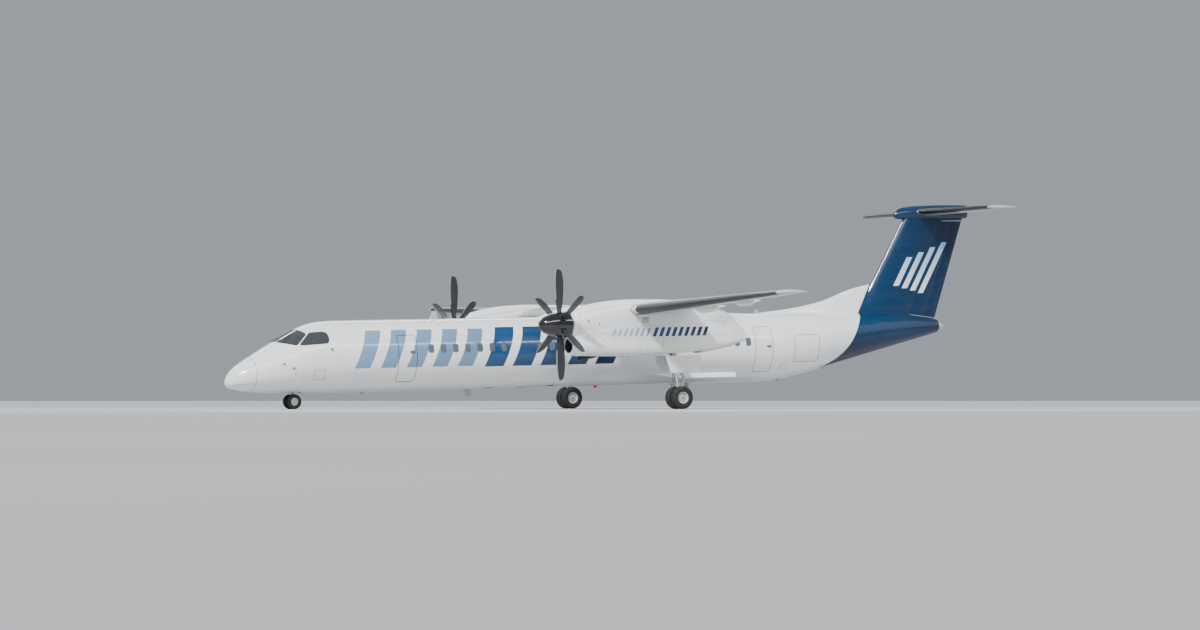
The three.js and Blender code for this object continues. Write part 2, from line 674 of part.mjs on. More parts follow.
function tailParts(room, tipRoom) {
  const rings = finEdges.map(({ at }) => foil(finAt(at)).map((p) => finPoint(finAt(at), p)));
  const fin = loft(rings);
  const fillet = loft(filletRows.map(({ at, top, base }) => {
    const low = 1000;
    const half = { foot: base, crest: 26 };
    return [[at, -half.foot, low], [at, -half.foot * 0.72, mix(low, top, 0.45)], [at, -half.crest, top - 14],
      [at, 0, top], [at, half.crest, top - 14], [at, half.foot * 0.72, mix(low, top, 0.45)],
      [at, half.foot, low]];
  }));
  const ends = finEdges.map(({ at }) => finAt(at));
  const outline = (make, share) => loft(ends.map((row) =>
    make(surfaceSection(row, share)).map((p) => finPoint(row, p))));
  const line = (share, height) => {
    const row = finAt(height);
    return [row.lead + share * row.chord, 0, height];
  };
  const cove = common(outline(coveOutline, RUDDER_HINGE), rudderBand(0));
  const low = RUDDER_BASE.height;
  const axes = [RUDDER_HINGE, TAB_HINGE].map((share) => [line(share, low), line(share, RUDDER_TOP)]);
  [pivots.rudder, pivots.rudder_trailing] = axes;
  const noses = [RUDDER_HINGE, TAB_HINGE].map((share) => surfaceSection(finAt(RUDDER_TOP), share).nose);
  const whole = common(outline(surfaceOutline, RUDDER_HINGE), rudderBand(-RUDDER_GAP));
  const foreBare = cut(whole, outline(coveOutline, TAB_HINGE));
  const tabBare = common(outline(surfaceOutline, TAB_HINGE), rudderBand(-RUDDER_GAP - 2));
  const finBare = cut(join(fin, fillet), cove, room, tipRoom);
  const inner = hang(foreBare, tabBare, axes[1], HINGE_SHARES, noses[1]);
  const outer = hang(finBare, inner.carrier, axes[0], HINGE_SHARES, noses[0]);
  return { fin: outer.carrier, fore: outer.surface, tab: inner.surface };
}

// Fairing on the fin tip, which carries the tailplane
const tipFairingRows = [
  { at: 29340, top: 5330, bottom: 5105, half: 95 },
  { at: 29480, top: 5440, bottom: 5050, half: 165 },
  { at: 29800, top: 5530, bottom: 5028, half: 220 },
  { at: 30500, top: 5590, bottom: 5030, half: 250 },
  { at: 31700, top: 5618, bottom: 5040, half: 250 },
  { at: 32400, top: 5612, bottom: 5050, half: 205 },
  { at: 32800, top: 5604, bottom: 5062, half: 150 },
  { at: 32830, top: 5570, bottom: 5090, half: 120 },
];

function tipFairing(grow) {
  const rings = tipFairingRows.map(({ at, top, bottom, half }) =>
    ellipse(at, (top + bottom) / 2, (top - bottom) / 2 + grow, half + grow, 16));
  return loft([[[29270 - grow, 0, 5215]], ...rings]);
}

// Tailplane in one piece across the fin, with an elevator each side on one straight hinge line
const tailStations = [
  { at: 0, lead: 30240, trail: 32620, deep: 285 },
  { at: TAIL_OUT - 60, lead: 30750, trail: 32215, deep: 150 },
];
const TAIL_TIP = { close: 60, thin: 0.3, wide: 0.95 };
const TAIL_BOOT = 0.085;
const ELEVATOR_IN = 300;
const ELEVATOR_OUT = TAIL_OUT - 190;

function tailAt(out) {
  const [lead, trail, deep] = ['lead', 'trail', 'deep'].map((key) => lookUp(tailStations, out, key));
  return { lead, chord: trail - lead, deep, out };
}

function tailRing(out, y, grow = 0, thin = 1, wide = 1) {
  const row = tailAt(out);
  return foil(row, grow).map(([x, z]) =>
    [row.lead + row.chord * (1 - wide) + x * wide, y, TAIL_HEIGHT + z * thin]);
}

function tailPanel(grow) {
  const end = TAIL_OUT - TAIL_TIP.close;
  return loft([
    tailRing(end, -TAIL_OUT, grow, TAIL_TIP.thin, TAIL_TIP.wide),
    tailRing(end, -end, grow),
    tailRing(0, 0, grow),
    tailRing(end, end, grow),
    tailRing(end, TAIL_OUT, grow, TAIL_TIP.thin, TAIL_TIP.wide),
  ]);
}

function tailplaneParts() {
  const whole = tailPanel(0);
  const boots = {};
  const elevators = {};
  let body = whole;
  [-1, 1].forEach((side) => {
    const zone = (slack, inner) => planPrism([
      [29000, side * inner],
      [tailAt(inner).lead + TAIL_BOOT * tailAt(0).chord - slack, side * inner],
      [tailAt(TAIL_OUT - 100).lead + TAIL_BOOT * tailAt(0).chord - slack, side * (TAIL_OUT - 100)],
      [29000, side * (TAIL_OUT - 100)],
    ], TAIL_HEIGHT - 400, TAIL_HEIGHT + 400);
    boots[side] = common(whole, zone(SEAT, BOOT_ROOT));
    const rows = [ELEVATOR_IN, ELEVATOR_IN + 2 * RUN, ELEVATOR_OUT - 2 * RUN, ELEVATOR_OUT].map((out) => {
      const station = tailAt(out);
      return { station, section: surfaceSection(station, (ELEVATOR_HINGE - station.lead) / station.chord) };
    });
    const place = ({ station }, outline) =>
      outline.map(([x, z]) => [station.lead + x, side * station.out, TAIL_HEIGHT + z]);
    const cove = loft([rows[0], rows[3]].map((row) => place(row, coveOutline(row.section))));
    const blade = loft([rows[1], rows[2]].map((row) => place(row, surfaceOutline(row.section))));
    const line = [rows[1], rows[2]].map(({ station }) => [ELEVATOR_HINGE, side * station.out, TAIL_HEIGHT]);
    pivots.elevators = [[ELEVATOR_HINGE, -1000, TAIL_HEIGHT], [ELEVATOR_HINGE, 1000, TAIL_HEIGHT]];
    const open = cut(body, zone(0, BOOT_ROOT - SEAT), cove);
    const hung = hang(open, blade, line, HINGE_SHARES, rows[2].section.nose);
    body = hung.carrier;
    elevators[side] = hung.surface;
  });
  return { body, boots, elevators, room: tailPanel(SEAT) };
}

const BOOT_ROOT = 330;

// Nacelle: cowl with a chin intake, engine bay, wheel bay behind it and exhaust over its tail
const ENGINE = { start: 12800, long: 2420, wide: 770, low: 390, tall: 1100 };
const BAY = { start: 15780, leg: 17380, door: 17400, end: 18780, half: 400, doorHalf: 325, roof: 780 };
const intakeRows = [
  { at: 11900, centre: 205, rise: 262, half: 285 },
  { at: 12130, centre: 165, rise: 225, half: 265 },
  { at: 12650, centre: 90, rise: 190, half: 225 },
];
const EXHAUST = { start: 17350, end: 18060, height: 1500, radius: 190, wall: 28 };
const SHAFT = { radius: 70, collar: 100, housing: 205, opening: 245, front: 11905, end: 11690 };

function nacelleParts(side) {
  const y = side * NACELLE_OUT;
  const hull = nacelleHull(side);
  const within = (from, to, half, low, high) => box([from, y - half, low], [to, y + half, high]);
  const room = ENGINE.wide / 2 + 15;
  const engineRoom = within(ENGINE.start - 60, ENGINE.start + ENGINE.long + 60, room, ENGINE.low, 1505);
  const centre = [0, y, PROP_HEIGHT];
  const mouth = bar(add(centre, [11800, 0, 0]), add(centre, [ENGINE.start, 0, 0]), SHAFT.opening, 16);
  const duct = loft(intakeRows.map(({ at, centre: z, rise, half }) =>
    ellipse(at, z, rise, half, 16).map((p) => add(p, [0, y, 0]))));
  const bay = join(
    within(BAY.start, BAY.leg, BAY.half, -500, BAY.roof),
    within(BAY.leg - 5, BAY.end, BAY.doorHalf, -500, BAY.roof - 60),
  );
  const doorZone = (way, slack) => {
    const ends = [way * (3 + slack), way * (BAY.doorHalf - slack)].sort((a, b) => a - b);
    return box([BAY.door + slack, y + ends[0], -400], [BAY.end - 2 * slack, y + ends[1], 600]);
  };
  const pipeSpot = (at) => [at, y, EXHAUST.height];
  const pipe = bar(pipeSpot(EXHAUST.start), pipeSpot(EXHAUST.end), EXHAUST.radius + EXHAUST.wall, 16);
  const pipeHole = bar(pipeSpot(EXHAUST.start + 60), pipeSpot(EXHAUST.end + 900), EXHAUST.radius, 16);
  const doors = {};
  const lines = {};
  [-1, 1].forEach((way) => {
    const shell = cut(hull, nacelleHull(side, -SKIN));
    const lower = box([BAY.door, y - 600, -400], [BAY.end, y + 600, 500]);
    lines[way] = [BAY.door + RUN, BAY.end - 2 * RUN].map((at) =>
      [at, y + way * (BAY.doorHalf - RUN), nacelleBelly(at, BAY.doorHalf - RUN)]);
    doors[way] = join(common(shell, lower, doorZone(way, RUN)), ...doorPins(lines[way]));
  });
  const body = cut(join(hull, pipe), engineRoom, mouth, duct, bay, pipeHole,
    ...doorPinHoles(lines[-1]), ...doorPinHoles(lines[1]));
  return { body, doors, lines };
}

function engineParts(side) {
  const y = side * NACELLE_OUT;
  const { start, long, wide, low, tall } = ENGINE;
  const block = box([start, y - wide / 2, low + SEAT], [start + long, y + wide / 2, low + tall]);
  const spot = (at) => [at, y, PROP_HEIGHT];
  return join(
    block,
    bar(spot(SHAFT.front), spot(start + 50), SHAFT.housing, 16),
    bar(spot(SPINNER_BASE + SEAT), spot(start), SHAFT.collar, 16),
    bar(spot(SHAFT.end), spot(start), SHAFT.radius, 16),
  );
}

// Propeller about its own centre, x aft: hub, back plate and six feathered blades
const bladeRows = [
  { at: 430, chord: 170, deep: 100, turn: 12 },
  { at: 800, chord: 300, deep: 48, turn: 7 },
  { at: 1500, chord: 365, deep: 29, turn: -1 },
  { at: 1960, chord: 255, deep: 14, turn: -7 },
  { at: PROP_RADIUS, chord: 110, deep: 7, turn: -9 },
];
const BLADE_ROOT = 82;
const HUB = { radius: 215, front: -190, back: 165 };
const PLATE = { back: SPINNER_BASE - PROP_STATION, thick: 14, radius: SPINNER_RADIUS };

function blade(turn) {
  const frame = new THREE.Matrix4().makeRotationX(turn);
  const rings = bladeRows.map(({ at, chord, deep, turn: twist }) => {
    const angle = THREE.MathUtils.degToRad(twist);
    return foil({ chord, deep, camber: 0.02 }, 0, 4).map(([x, t]) => {
      const [fore, off] = [x - 0.42 * chord, t];
      const spot = new THREE.Vector3(
        fore * Math.cos(angle) - off * Math.sin(angle),
        fore * Math.sin(angle) + off * Math.cos(angle),
        at,
      );
      return spot.applyMatrix4(frame).toArray();
    });
  });
  const root = new THREE.Vector3(0, 0, 480).applyMatrix4(frame).toArray();
  const heart = new THREE.Vector3(0, 0, 120).applyMatrix4(frame).toArray();
  return join(loft(rings), bar(heart, root, BLADE_ROOT, 8));
}

// The spinner is an ogive: its radius follows a quarter of an ellipse from tip to base
function ogive(tip, base, radius, steps = 5, facets = 20) {
  const rings = range(steps).map((i) => {
    const share = Math.sin((Math.PI / 2) * ((i + 1) / steps));
    const along = 1 - Math.cos((Math.PI / 2) * ((i + 1) / steps));
    return ellipse(mix(tip, base, along), 0, radius * share ** 0.94, radius * share ** 0.94, facets);
  });
  return loft([[[tip, 0, 0]], ...rings]);
}

function propellerParts() {
  const turns = range(BLADES).map((i) => (2 * Math.PI * i) / BLADES);
  const hub = bar([HUB.front, 0, 0], [HUB.back, 0, 0], HUB.radius, 14);
  const neck = bar([HUB.back - 5, 0, 0], [PLATE.back - 5, 0, 0], HUB.radius - 60, 14);
  const plate = bar([PLATE.back - PLATE.thick, 0, 0], [PLATE.back, 0, 0], PLATE.radius, 20);
  const shaft = bore([SHAFT.end - PROP_STATION - 5, 0, 0], [PLATE.back + 10, 0, 0], SHAFT.radius, 16);
  const propeller = cut(join(hub, neck, plate, ...turns.map(blade)), shaft);
  const base = PLATE.back - PLATE.thick - SEAT;
  const outer = ogive(SPINNER_TIP - PROP_STATION, base, SPINNER_RADIUS);
  const hollow = join(
    ogive(SPINNER_TIP - PROP_STATION + 60, base, SPINNER_RADIUS - 22, 4, 12),
    bar([base - 2, 0, 0], [base + 20, 0, 0], SPINNER_RADIUS - 22, 12),
  );
  const holes = turns.map((turn) => {
    const frame = new THREE.Matrix4().makeRotationX(turn);
    const [low, high] = [200, 640].map((at) => new THREE.Vector3(0, 0, at).applyMatrix4(frame).toArray());
    return bar(low, high, BLADE_ROOT + 38, 8);
  });
  return { propeller, spinner: cut(outer, hollow, ...holes) };
}

// Wheels: tyres and rims turn about the y axis through their own centres
function tyre({ radius, width, rim, facets }) {
  const half = width / 2;
  const depth = radius - rim;
  const tread = radius / Math.cos(Math.PI / facets);
  const profile = [
    [rim + SEAT, -half * 0.72],
    [rim + depth * 0.55, -half],
    [tread, -half * 0.55],
    [tread, half * 0.55],
    [rim + depth * 0.55, half],
    [rim + SEAT, half * 0.72],
  ];
  return turned(profile, facets);
}

// A ring or disc turned about the y axis, from a closed profile of radius and y, with a flat at its foot
function turned(profile, facets) {
  const points = [...profile, profile[0]].map(([r, y]) => new THREE.Vector2(r, y));
  return fromGeometry(new THREE.LatheGeometry(points, facets, STANCE_PITCH + Math.PI + Math.PI / facets));
}

const AXLE = { main: 46, nose: 32 };
const HUB_GAP = 1.5;

// The rim is open round its axle and stands against a shoulder on its inner side; way is its outer side
function rim({ width, rim: edge, facets }, axle, reach, way) {
  const half = (width / 2) * 0.72;
  const hole = axle + HUB_GAP;
  const profile = [
    [hole, -reach],
    [axle + 36, -reach],
    [edge - 30, -half * 0.9],
    [edge, -half],
    [edge, half],
    [edge - 45, half * 0.4],
    [hole, half * 0.75],
  ];
  return turned(profile.map(([r, y]) => [r, y * way]), facets);
}

// Heights of the wheel centres under the cabin centreline, so that both tyres touch level ground
function axleHeight(station, radius) {
  const drop = (station - MAIN_STATION) * Math.sin(STANCE_PITCH);
  return (radius - CABIN_HEIGHT - drop) / Math.cos(STANCE_PITCH);
}

const MAIN_AXLE = axleHeight(MAIN_STATION, MAIN_TYRE.radius);
const NOSE_AXLE = axleHeight(NOSE_STATION, NOSE_TYRE.radius);
const MAIN_LEG = { pivot: [16330, 480], strut: 92, piston: 58, joint: -760, beam: 62 };

// Main leg: trunnion, strut, piston, axle beam, drag brace, torque links and its two side doors
function mainLeg(side, nacelle) {
  const y = side * NACELLE_OUT;
  const spot = (at, z, off = 0) => [at, y + off, z];
  const top = spot(MAIN_LEG.pivot[0], MAIN_LEG.pivot[1]);
  const axle = spot(MAIN_STATION, MAIN_AXLE);
  const down = unit(minus(axle, top));
  const sleeveEnd = add(top, down, (MAIN_LEG.joint - top[2]) / down[2]);
  const trunnion = [-1, 1].map((way) => add(top, [0, way * (BAY.half + 25), 0]));
  const braceFoot = add(top, down, 900);
  const braceHead = spot(BAY.start - 45, 300);
  const shoulder = MAIN_TYRE.apart / 2 - RIM_REACH.main - SEAT;
  const axleEnd = MAIN_TYRE.apart / 2 + MAIN_TYRE.width * 0.3;
  const beam = bar(add(axle, [0, -shoulder, 0]), add(axle, [0, shoulder, 0]), MAIN_LEG.beam, 14);
  const stub = bar(add(axle, [0, -axleEnd, 0]), add(axle, [0, axleEnd, 0]), AXLE.main, 14);
  const linkTop = add(add(sleeveEnd, down, -60), [85, 0, 0]);
  const linkKnee = add(add(sleeveEnd, down, 330), [330, 0, 0]);
  const linkFoot = add(add(axle, down, -110), [60, 0, 0]);
  const link = (from, to) => slab(
    from.map((v, i) => (v + to[i]) / 2), [0, 1, 0], unit(minus(to, from)), 48,
    -length(minus(to, from)) / 2 - 12, length(minus(to, from)) / 2 + 12, 16,
  );
  const doorPlate = (way) => {
    const inner = y + way * (BAY.half + 22);
    const outline = [[BAY.start + 30, -255], [BAY.leg - 30, -255],
      [BAY.leg - 130, -900], [BAY.start + 230, -900]];
    return sidePrism(outline, Math.min(inner, inner + way * 26), Math.max(inner, inner + way * 26));
  };
  const doorRods = [-1, 1].flatMap((way) => [-420, -720].map((z) => {
    const foot = add(top, down, (z - top[2]) / down[2]);
    return bar(foot, add([foot[0], y, z], [0, way * (BAY.half + 35), 0]), 16, 6);
  }));
  const leg = join(
    bar(...trunnion, 60),
    bar(add(top, down, -80), sleeveEnd, MAIN_LEG.strut, 12),
    bar(add(sleeveEnd, down, -30), axle, MAIN_LEG.piston, 12),
    bar(add(sleeveEnd, down, -45), add(sleeveEnd, down, 15), MAIN_LEG.strut + 16, 12),
    beam,
    stub,
    bar(braceFoot, braceHead, 38, 12),
    link(linkTop, linkKnee),
    link(linkKnee, linkFoot),
    bar(add(linkKnee, [0, -60, 0]), add(linkKnee, [0, 60, 0]), 24, 12),
    doorPlate(-1),
    doorPlate(1),
    ...doorRods,
  );
  const socket = seat(add(trunnion[0], [0, -20, 0]), add(trunnion[1], [0, 20, 0]), 60);
  const braceLine = unit(minus(braceHead, braceFoot));
  const braceHole = seat(add(braceHead, braceLine, -120), add(braceHead, braceLine, 10), 38);
  pivots[`main_wheels_${hand(side)}`] = [axle, add(axle, [0, 100, 0])];
  return { leg, body: cut(nacelle, socket, braceHole), axle };
}

const RIM_REACH = { main: 60, nose: 45 };

// Nose leg: fixed housing in its bay, and below it the turning fork with the axle
const NOSE_BAY = { start: 1430, door: 1450, split: 2300, end: 2960, half: 315, doorHalf: 300, roof: -560 };
const NOSE_LEG = { housing: 78, piston: 48, top: -700, joint: -1330 };

function noseLegParts() {
  const spot = (z, x = 0, off = 0) => [NOSE_STATION + x, off, z];
  const axle = spot(NOSE_AXLE);
  const trunnionHalf = NOSE_BAY.half + 25;
  const trunnion = [-1, 1].map((way) => spot(-740, 0, way * trunnionHalf));
  const braceHead = [NOSE_BAY.end + 40, 0, -760];
  const braceFoot = spot(-1160, 0);
  const brace = bar(braceFoot, braceHead, 30, 12);
  const pistonTop = spot(-1080);
  const housing = cut(
    join(
      bar(...trunnion, 42),
      bar(spot(NOSE_LEG.top), spot(NOSE_LEG.joint), NOSE_LEG.housing, 16),
      brace,
    ),
    bore(add(pistonTop, [0, 0, 30]), spot(NOSE_LEG.joint - 10), NOSE_LEG.piston, 14),
  );
  const shoulder = NOSE_TYRE.apart / 2 - RIM_REACH.nose - SEAT;
  const axleEnd = NOSE_TYRE.apart / 2 + NOSE_TYRE.width * 0.3;
  const fork = join(
    bar(pistonTop, axle, NOSE_LEG.piston, 14),
    bar(spot(NOSE_LEG.joint - SEAT), spot(NOSE_LEG.joint - 70), NOSE_LEG.housing + 8, 16),
    bar(add(axle, [0, -shoulder, 0]), add(axle, [0, shoulder, 0]), 46, 14),
    bar(add(axle, [0, -axleEnd, 0]), add(axle, [0, axleEnd, 0]), AXLE.nose, 14),
    box([NOSE_STATION - 105, -45, NOSE_AXLE - 34], [NOSE_STATION, 45, NOSE_AXLE + 34]),
  );
  const sockets = [
    seat(add(trunnion[0], [0, -20, 0]), add(trunnion[1], [0, 20, 0]), 42),
    seat(braceFoot, add(braceHead, unit(minus(braceHead, braceFoot)), 20), 30),
  ];
  faces.tow_point = { at: [NOSE_STATION - 105, 0, NOSE_AXLE], out: [-1, 0, 0] };
  pivots.nose_steering = [axle, spot(0)];
  pivots.nose_wheels = [axle, add(axle, [0, 100, 0])];
  return { housing, fork, sockets, axle };
}

// Passenger door with its own stairs, at the front on the left side
const DOOR = { front: 6440, back: 7165, sill: -975, top: 725, skin: 70, open: 112 };
const STEPS = { count: 6, first: 0.17, last: 0.82, deep: 215, thick: 22, half: 290 };
const VESTIBULE = { front: 6400, back: 7205, floor: -690, roof: 880, deep: -420, ledge: -850 };

function roundedRect([left, low], [right, high], radius, steps = 3) {
  const corners = [[right - radius, low + radius, -0.5], [right - radius, high - radius, 0],
    [left + radius, high - radius, 0.5], [left + radius, low + radius, 1]];
  return corners.flatMap(([x, z, start]) => range(steps + 1).map((i) => {
    const turn = Math.PI * (start + i / (2 * steps));
    return [x + radius * Math.cos(turn), z + radius * Math.sin(turn)];
  }));
}

function airstairParts(hull) {
  const outline = roundedRect([DOOR.front, DOOR.sill], [DOOR.back, DOOR.top], 90);
  const opening = sidePrism(offset(outline, RUN), -1500, -700);
  const shell = cut(common(hull, sidePrism(outline, -1500, -600)), bodyHull(-DOOR.skin));
  const skinOut = (z) => -Math.sqrt(CABIN_RADIUS ** 2 - z ** 2);
  const hingeY = skinOut(DOOR.sill);
  const line = [DOOR.front + 90, DOOR.back - 90].map((at) => [at, hingeY, DOOR.sill]);
  const topY = skinOut(DOOR.top);
  const chord = [topY - hingeY, DOOR.top - DOOR.sill];
  const open = THREE.MathUtils.degToRad(DOOR.open);
  const tread = [Math.cos(Math.PI - open), Math.sin(Math.PI - open)];
  const middle = (DOOR.front + DOOR.back) / 2;
  const across = [1, 0, 0];
  const treads = range(STEPS.count).map((i) => {
    const share = mix(STEPS.first, STEPS.last, i / (STEPS.count - 1));
    const z = DOOR.sill + chord[1] * share;
    const y = skinOut(z) + DOOR.skin * 0.7;
    const far = [y + tread[0] * STEPS.deep, z + tread[1] * STEPS.deep];
    const centre = [middle, (y + far[0]) / 2, (z + far[1]) / 2];
    return slab(centre, across, [0, ...tread], STEPS.half, -STEPS.deep / 2, STEPS.deep / 2, STEPS.thick / 2);
  });
  const sideRails = [-1, 1].map((way) => {
    const rows = range(7).map((i) => mix(0.12, 0.96, i / 6)).map((share) => {
      const z = DOOR.sill + chord[1] * share;
      return [skinOut(z) + DOOR.skin * 0.6, skinOut(z) + DOOR.skin + 55, z];
    });
    const at = middle + way * (STEPS.half + 8);
    return loft([at - 9, at + 9].map((x) => [
      ...rows.map(([y, , z]) => [x, y, z]),
      ...rows.toReversed().map(([, y, z]) => [x, y, z]),
    ]));
  });
  const pinLine = [[DOOR.front, hingeY, DOOR.sill], [DOOR.back, hingeY, DOOR.sill]];
  const knuckle = bar(line[0], line[1], DOOR_PIN.radius * 1.2, 12);
  const pinEnds = (extra) => [[-1, line[0]], [1, line[1]]].map(([way, end]) =>
    add(end, [way * (DOOR_PIN.reach + extra), 0, 0]));
  const pin = bar(...pinEnds(0), DOOR_PIN.radius, 12);
  const pinHole = [
    bore(...pinEnds(5), DOOR_PIN.radius, 12),
    bar(add(line[0], [-5, 0, 0]), add(line[1], [5, 0, 0]), DOOR_PIN.radius * 1.2 + 6, 12),
  ];
  pivots.airstair = pinLine;
  const door = join(shell, knuckle, pin, ...sideRails, ...treads);
  const room = join(
    box([VESTIBULE.front, -1400, VESTIBULE.floor], [VESTIBULE.back, VESTIBULE.deep, VESTIBULE.roof]),
    box([DOOR.front - RUN, -1400, DOOR.sill + 60], [DOOR.back + RUN, VESTIBULE.ledge, VESTIBULE.floor + 5]),
  );
  const roomInside = common(room, bodyHull(-DOOR.skin - RUN));
  return { door, holes: [opening, roomInside, ...pinHole] };
}

// Cockpit glazing: one band round the nose, flush with the skin
const glassOutline = [[1700, 690], [2560, 430], [3640, 500], [3715, 640], [3690, 860], [3600, 925],
  [3060, 915], [2790, 1045], [2600, 1330], [1700, 1330]];
const GLASS = 26;

function glazing(hull) {
  const glass = cut(common(hull, sidePrism(offset(glassOutline, -SEAT), -1400, 1400)), bodyHull(-GLASS));
  const pocket = cut(sidePrism(glassOutline, -1400, 1400), bodyHull(-GLASS - SEAT));
  return { glass, pocket };
}

function noseDoors(hull) {
  const shell = cut(hull, bodyHull(-SKIN));
  const doors = {};
  const lines = {};
  const { door, split, half, doorHalf } = NOSE_BAY;
  [-1, 1].forEach((side) => {
    const ends = [side * 3, side * (doorHalf - RUN)].sort((a, b) => a - b);
    lines[side] = [door + RUN, split - RUN].map((at) =>
      [at, side * (doorHalf - RUN), bellyHeight(at, doorHalf - RUN)]);
    pivots[`nose_gear_door_${hand(side)}`] = lines[side];
    doors[side] = join(
      common(shell, box([door + RUN, ends[0], -1500], [split - RUN, ends[1], -900])),
      ...doorPins(lines[side]),
    );
  });
  const inner = bodyHull(-SKIN - RUN);
  const bay = join(
    common(inner, box([NOSE_BAY.start, -half, -1500], [NOSE_BAY.end, half, NOSE_BAY.roof])),
    box([door, -doorHalf, -1500], [NOSE_BAY.end, doorHalf, -1100]),
  );
  return { doors, holes: [bay, ...doorPinHoles(lines[-1]), ...doorPinHoles(lines[1])] };
}

// Materials: colour, roughness and metalness of each finish
const finish = (colour, roughness, metalness = 0) =>
  new THREE.MeshStandardMaterial({ color: colour, roughness, metalness });
const white = finish(0xf1f3f5, 0.28);
const blue = finish(0x0b3f7d, 0.25);
const grey = finish(0xb9bdc0, 0.4);
const boot = finish(0x141517, 0.55);
const black = finish(0x0c0d0f, 0.2);
const glassy = finish(0x1b2229, 0.08);
const metal = finish(0xa9adb1, 0.35, 0.8);
const legPaint = finish(0xd5d8da, 0.4, 0.1);
const rubber = finish(0x1d1d1e, 0.85);
const bladePaint = finish(0x2b2d30, 0.4);

const airliner = new THREE.Group();
const airframe = new THREE.Group();
airliner.add(airframe);

function piece(name, body, material, position = [0, 0, 0], parent = airframe) {
  const { vertProperties, triVerts } = body.getMesh();
  const geometry = new THREE.BufferGeometry();
  geometry.setAttribute('position', new THREE.BufferAttribute(vertProperties, 3));
  geometry.setIndex(new THREE.BufferAttribute(triVerts, 1));
  geometry.computeVertexNormals();
  const mesh = new THREE.Mesh(geometry, material);
  mesh.name = name;
  mesh.position.set(...position);
  parent.add(mesh);
  return mesh;
}

// Cabin, nose and tail cone
const hull = bodyHull(0);
const grownHull = bodyHull(SEAT);
const centre = wingCentre();
const glazed = glazing(hull);
const airstair = airstairParts(hull);
const noseGear = noseLegParts();
const noseBay = noseDoors(hull);
const behindRadome = box([RADOME_END + SEAT, -FAR, -FAR], [FAR, FAR, FAR]);
const nosePad = bar([4200, 0, -1300], [4200, 0, -1362], 80);
faces.nose_jack_pad = { at: [4200, 0, -1362], out: [0, 0, -1] };
const cabin = join(
  cut(common(hull, behindRadome), centre.room, glazed.pocket, ...airstair.holes, ...noseBay.holes,
    ...noseGear.sockets),
  nosePad,
);
piece('fuselage', cabin, white);
piece('radome', cut(hull, box([RADOME_END, -FAR, -FAR], [FAR, FAR, FAR])), white);
piece('cockpit_glazing', glazed.glass, glassy);
piece('airstair_door', airstair.door, white);
const tailCone = [
  { at: BODY_END + SEAT, r: 205, z: 690 },
  { at: 31420, r: 150, z: 680 },
  { at: 31600, r: 70, z: 672 },
];
const coneRings = tailCone.map(({ at, r, z }) => ellipse(at, z, r, r, 24));
piece('tail_cone', loft([...coneRings, [[31655, 0, 668]]]), grey);

// Wing and its fairing
piece('wing_centre', centre.body, grey);
piece('wing_body_fairing', cut(wingBodyFairing(), grownHull, centre.room), white);
[-1, 1].forEach((side, i) => {
  const parts = wingParts(side);
  piece(`flap_inner_${hand(side)}`, centre.flaps[i], grey);
  piece(`wing_${hand(side)}`, parts.panel, grey);
  piece(`wing_boot_${hand(side)}`, parts.boot, boot);
  piece(`flap_outer_${hand(side)}`, parts.flap, grey);
  piece(`aileron_${hand(side)}`, parts.aileron, grey);
  piece(`belly_strake_${hand(side)}`, bellyStrake(side, grownHull), white);
});

// Tail
const tailplane = tailplaneParts();
const tail = tailParts(grownHull, tipFairing(SEAT));
piece('fin', tail.fin, blue);
piece('rudder', tail.fore, blue);
piece('rudder_trailing', tail.tab, blue);
piece('fin_tip_fairing', cut(tipFairing(0), tailplane.room), blue);
piece('tailplane', tailplane.body, grey);
[-1, 1].forEach((side) => {
  piece(`tailplane_boot_${hand(side)}`, tailplane.boots[side], boot);
  piece(`elevator_${hand(side)}`, tailplane.elevators[side], grey);
});

// Engines, propellers and main gear, one set each side
const { propeller, spinner } = propellerParts();
const mainTyre = tyre(MAIN_TYRE);
const mainRims = [-1, 1].map((way) => rim(MAIN_TYRE, AXLE.main, RIM_REACH.main, way));
[-1, 1].forEach((side) => {
  const name = hand(side);
  const nacelle = nacelleParts(side);
  const gear = mainLeg(side, nacelle.body);
  piece(`nacelle_${name}`, gear.body, white);
  piece(`engine_${name}`, engineParts(side), metal);
  const hubPlace = [PROP_STATION, side * NACELLE_OUT, PROP_HEIGHT];
  piece(`propeller_${name}`, propeller, bladePaint, hubPlace);
  piece(`spinner_${name}`, spinner, black, hubPlace);
  pivots[`propeller_${name}`] = [hubPlace, add(hubPlace, [100, 0, 0])];
  piece(`main_leg_${name}`, gear.leg, legPaint);
  [-1, 1].forEach((way, i) => {
    const spot = way === side ? 'outer' : 'inner';
    const place = add(gear.axle, [0, (way * MAIN_TYRE.apart) / 2, 0]);
    piece(`main_tyre_${name}_${spot}`, mainTyre, rubber, place);
    piece(`main_rim_${name}_${spot}`, mainRims[i], metal, place);
    piece(`main_gear_door_${name}_${spot}`, nacelle.doors[way], white);
    pivots[`main_gear_door_${name}_${spot}`] = nacelle.lines[way];
  });
});

// Nose gear
piece('nose_leg', noseGear.housing, legPaint);
piece('nose_fork', noseGear.fork, legPaint);
[-1, 1].forEach((side) => {
  const place = add(noseGear.axle, [0, (side * NOSE_TYRE.apart) / 2, 0]);
  piece(`nose_tyre_${hand(side)}`, tyre(NOSE_TYRE), rubber, place);
  piece(`nose_rim_${hand(side)}`, rim(NOSE_TYRE, AXLE.nose, RIM_REACH.nose, side), metal, place);
  piece(`nose_gear_door_${hand(side)}`, noseBay.doors[side], white);
});

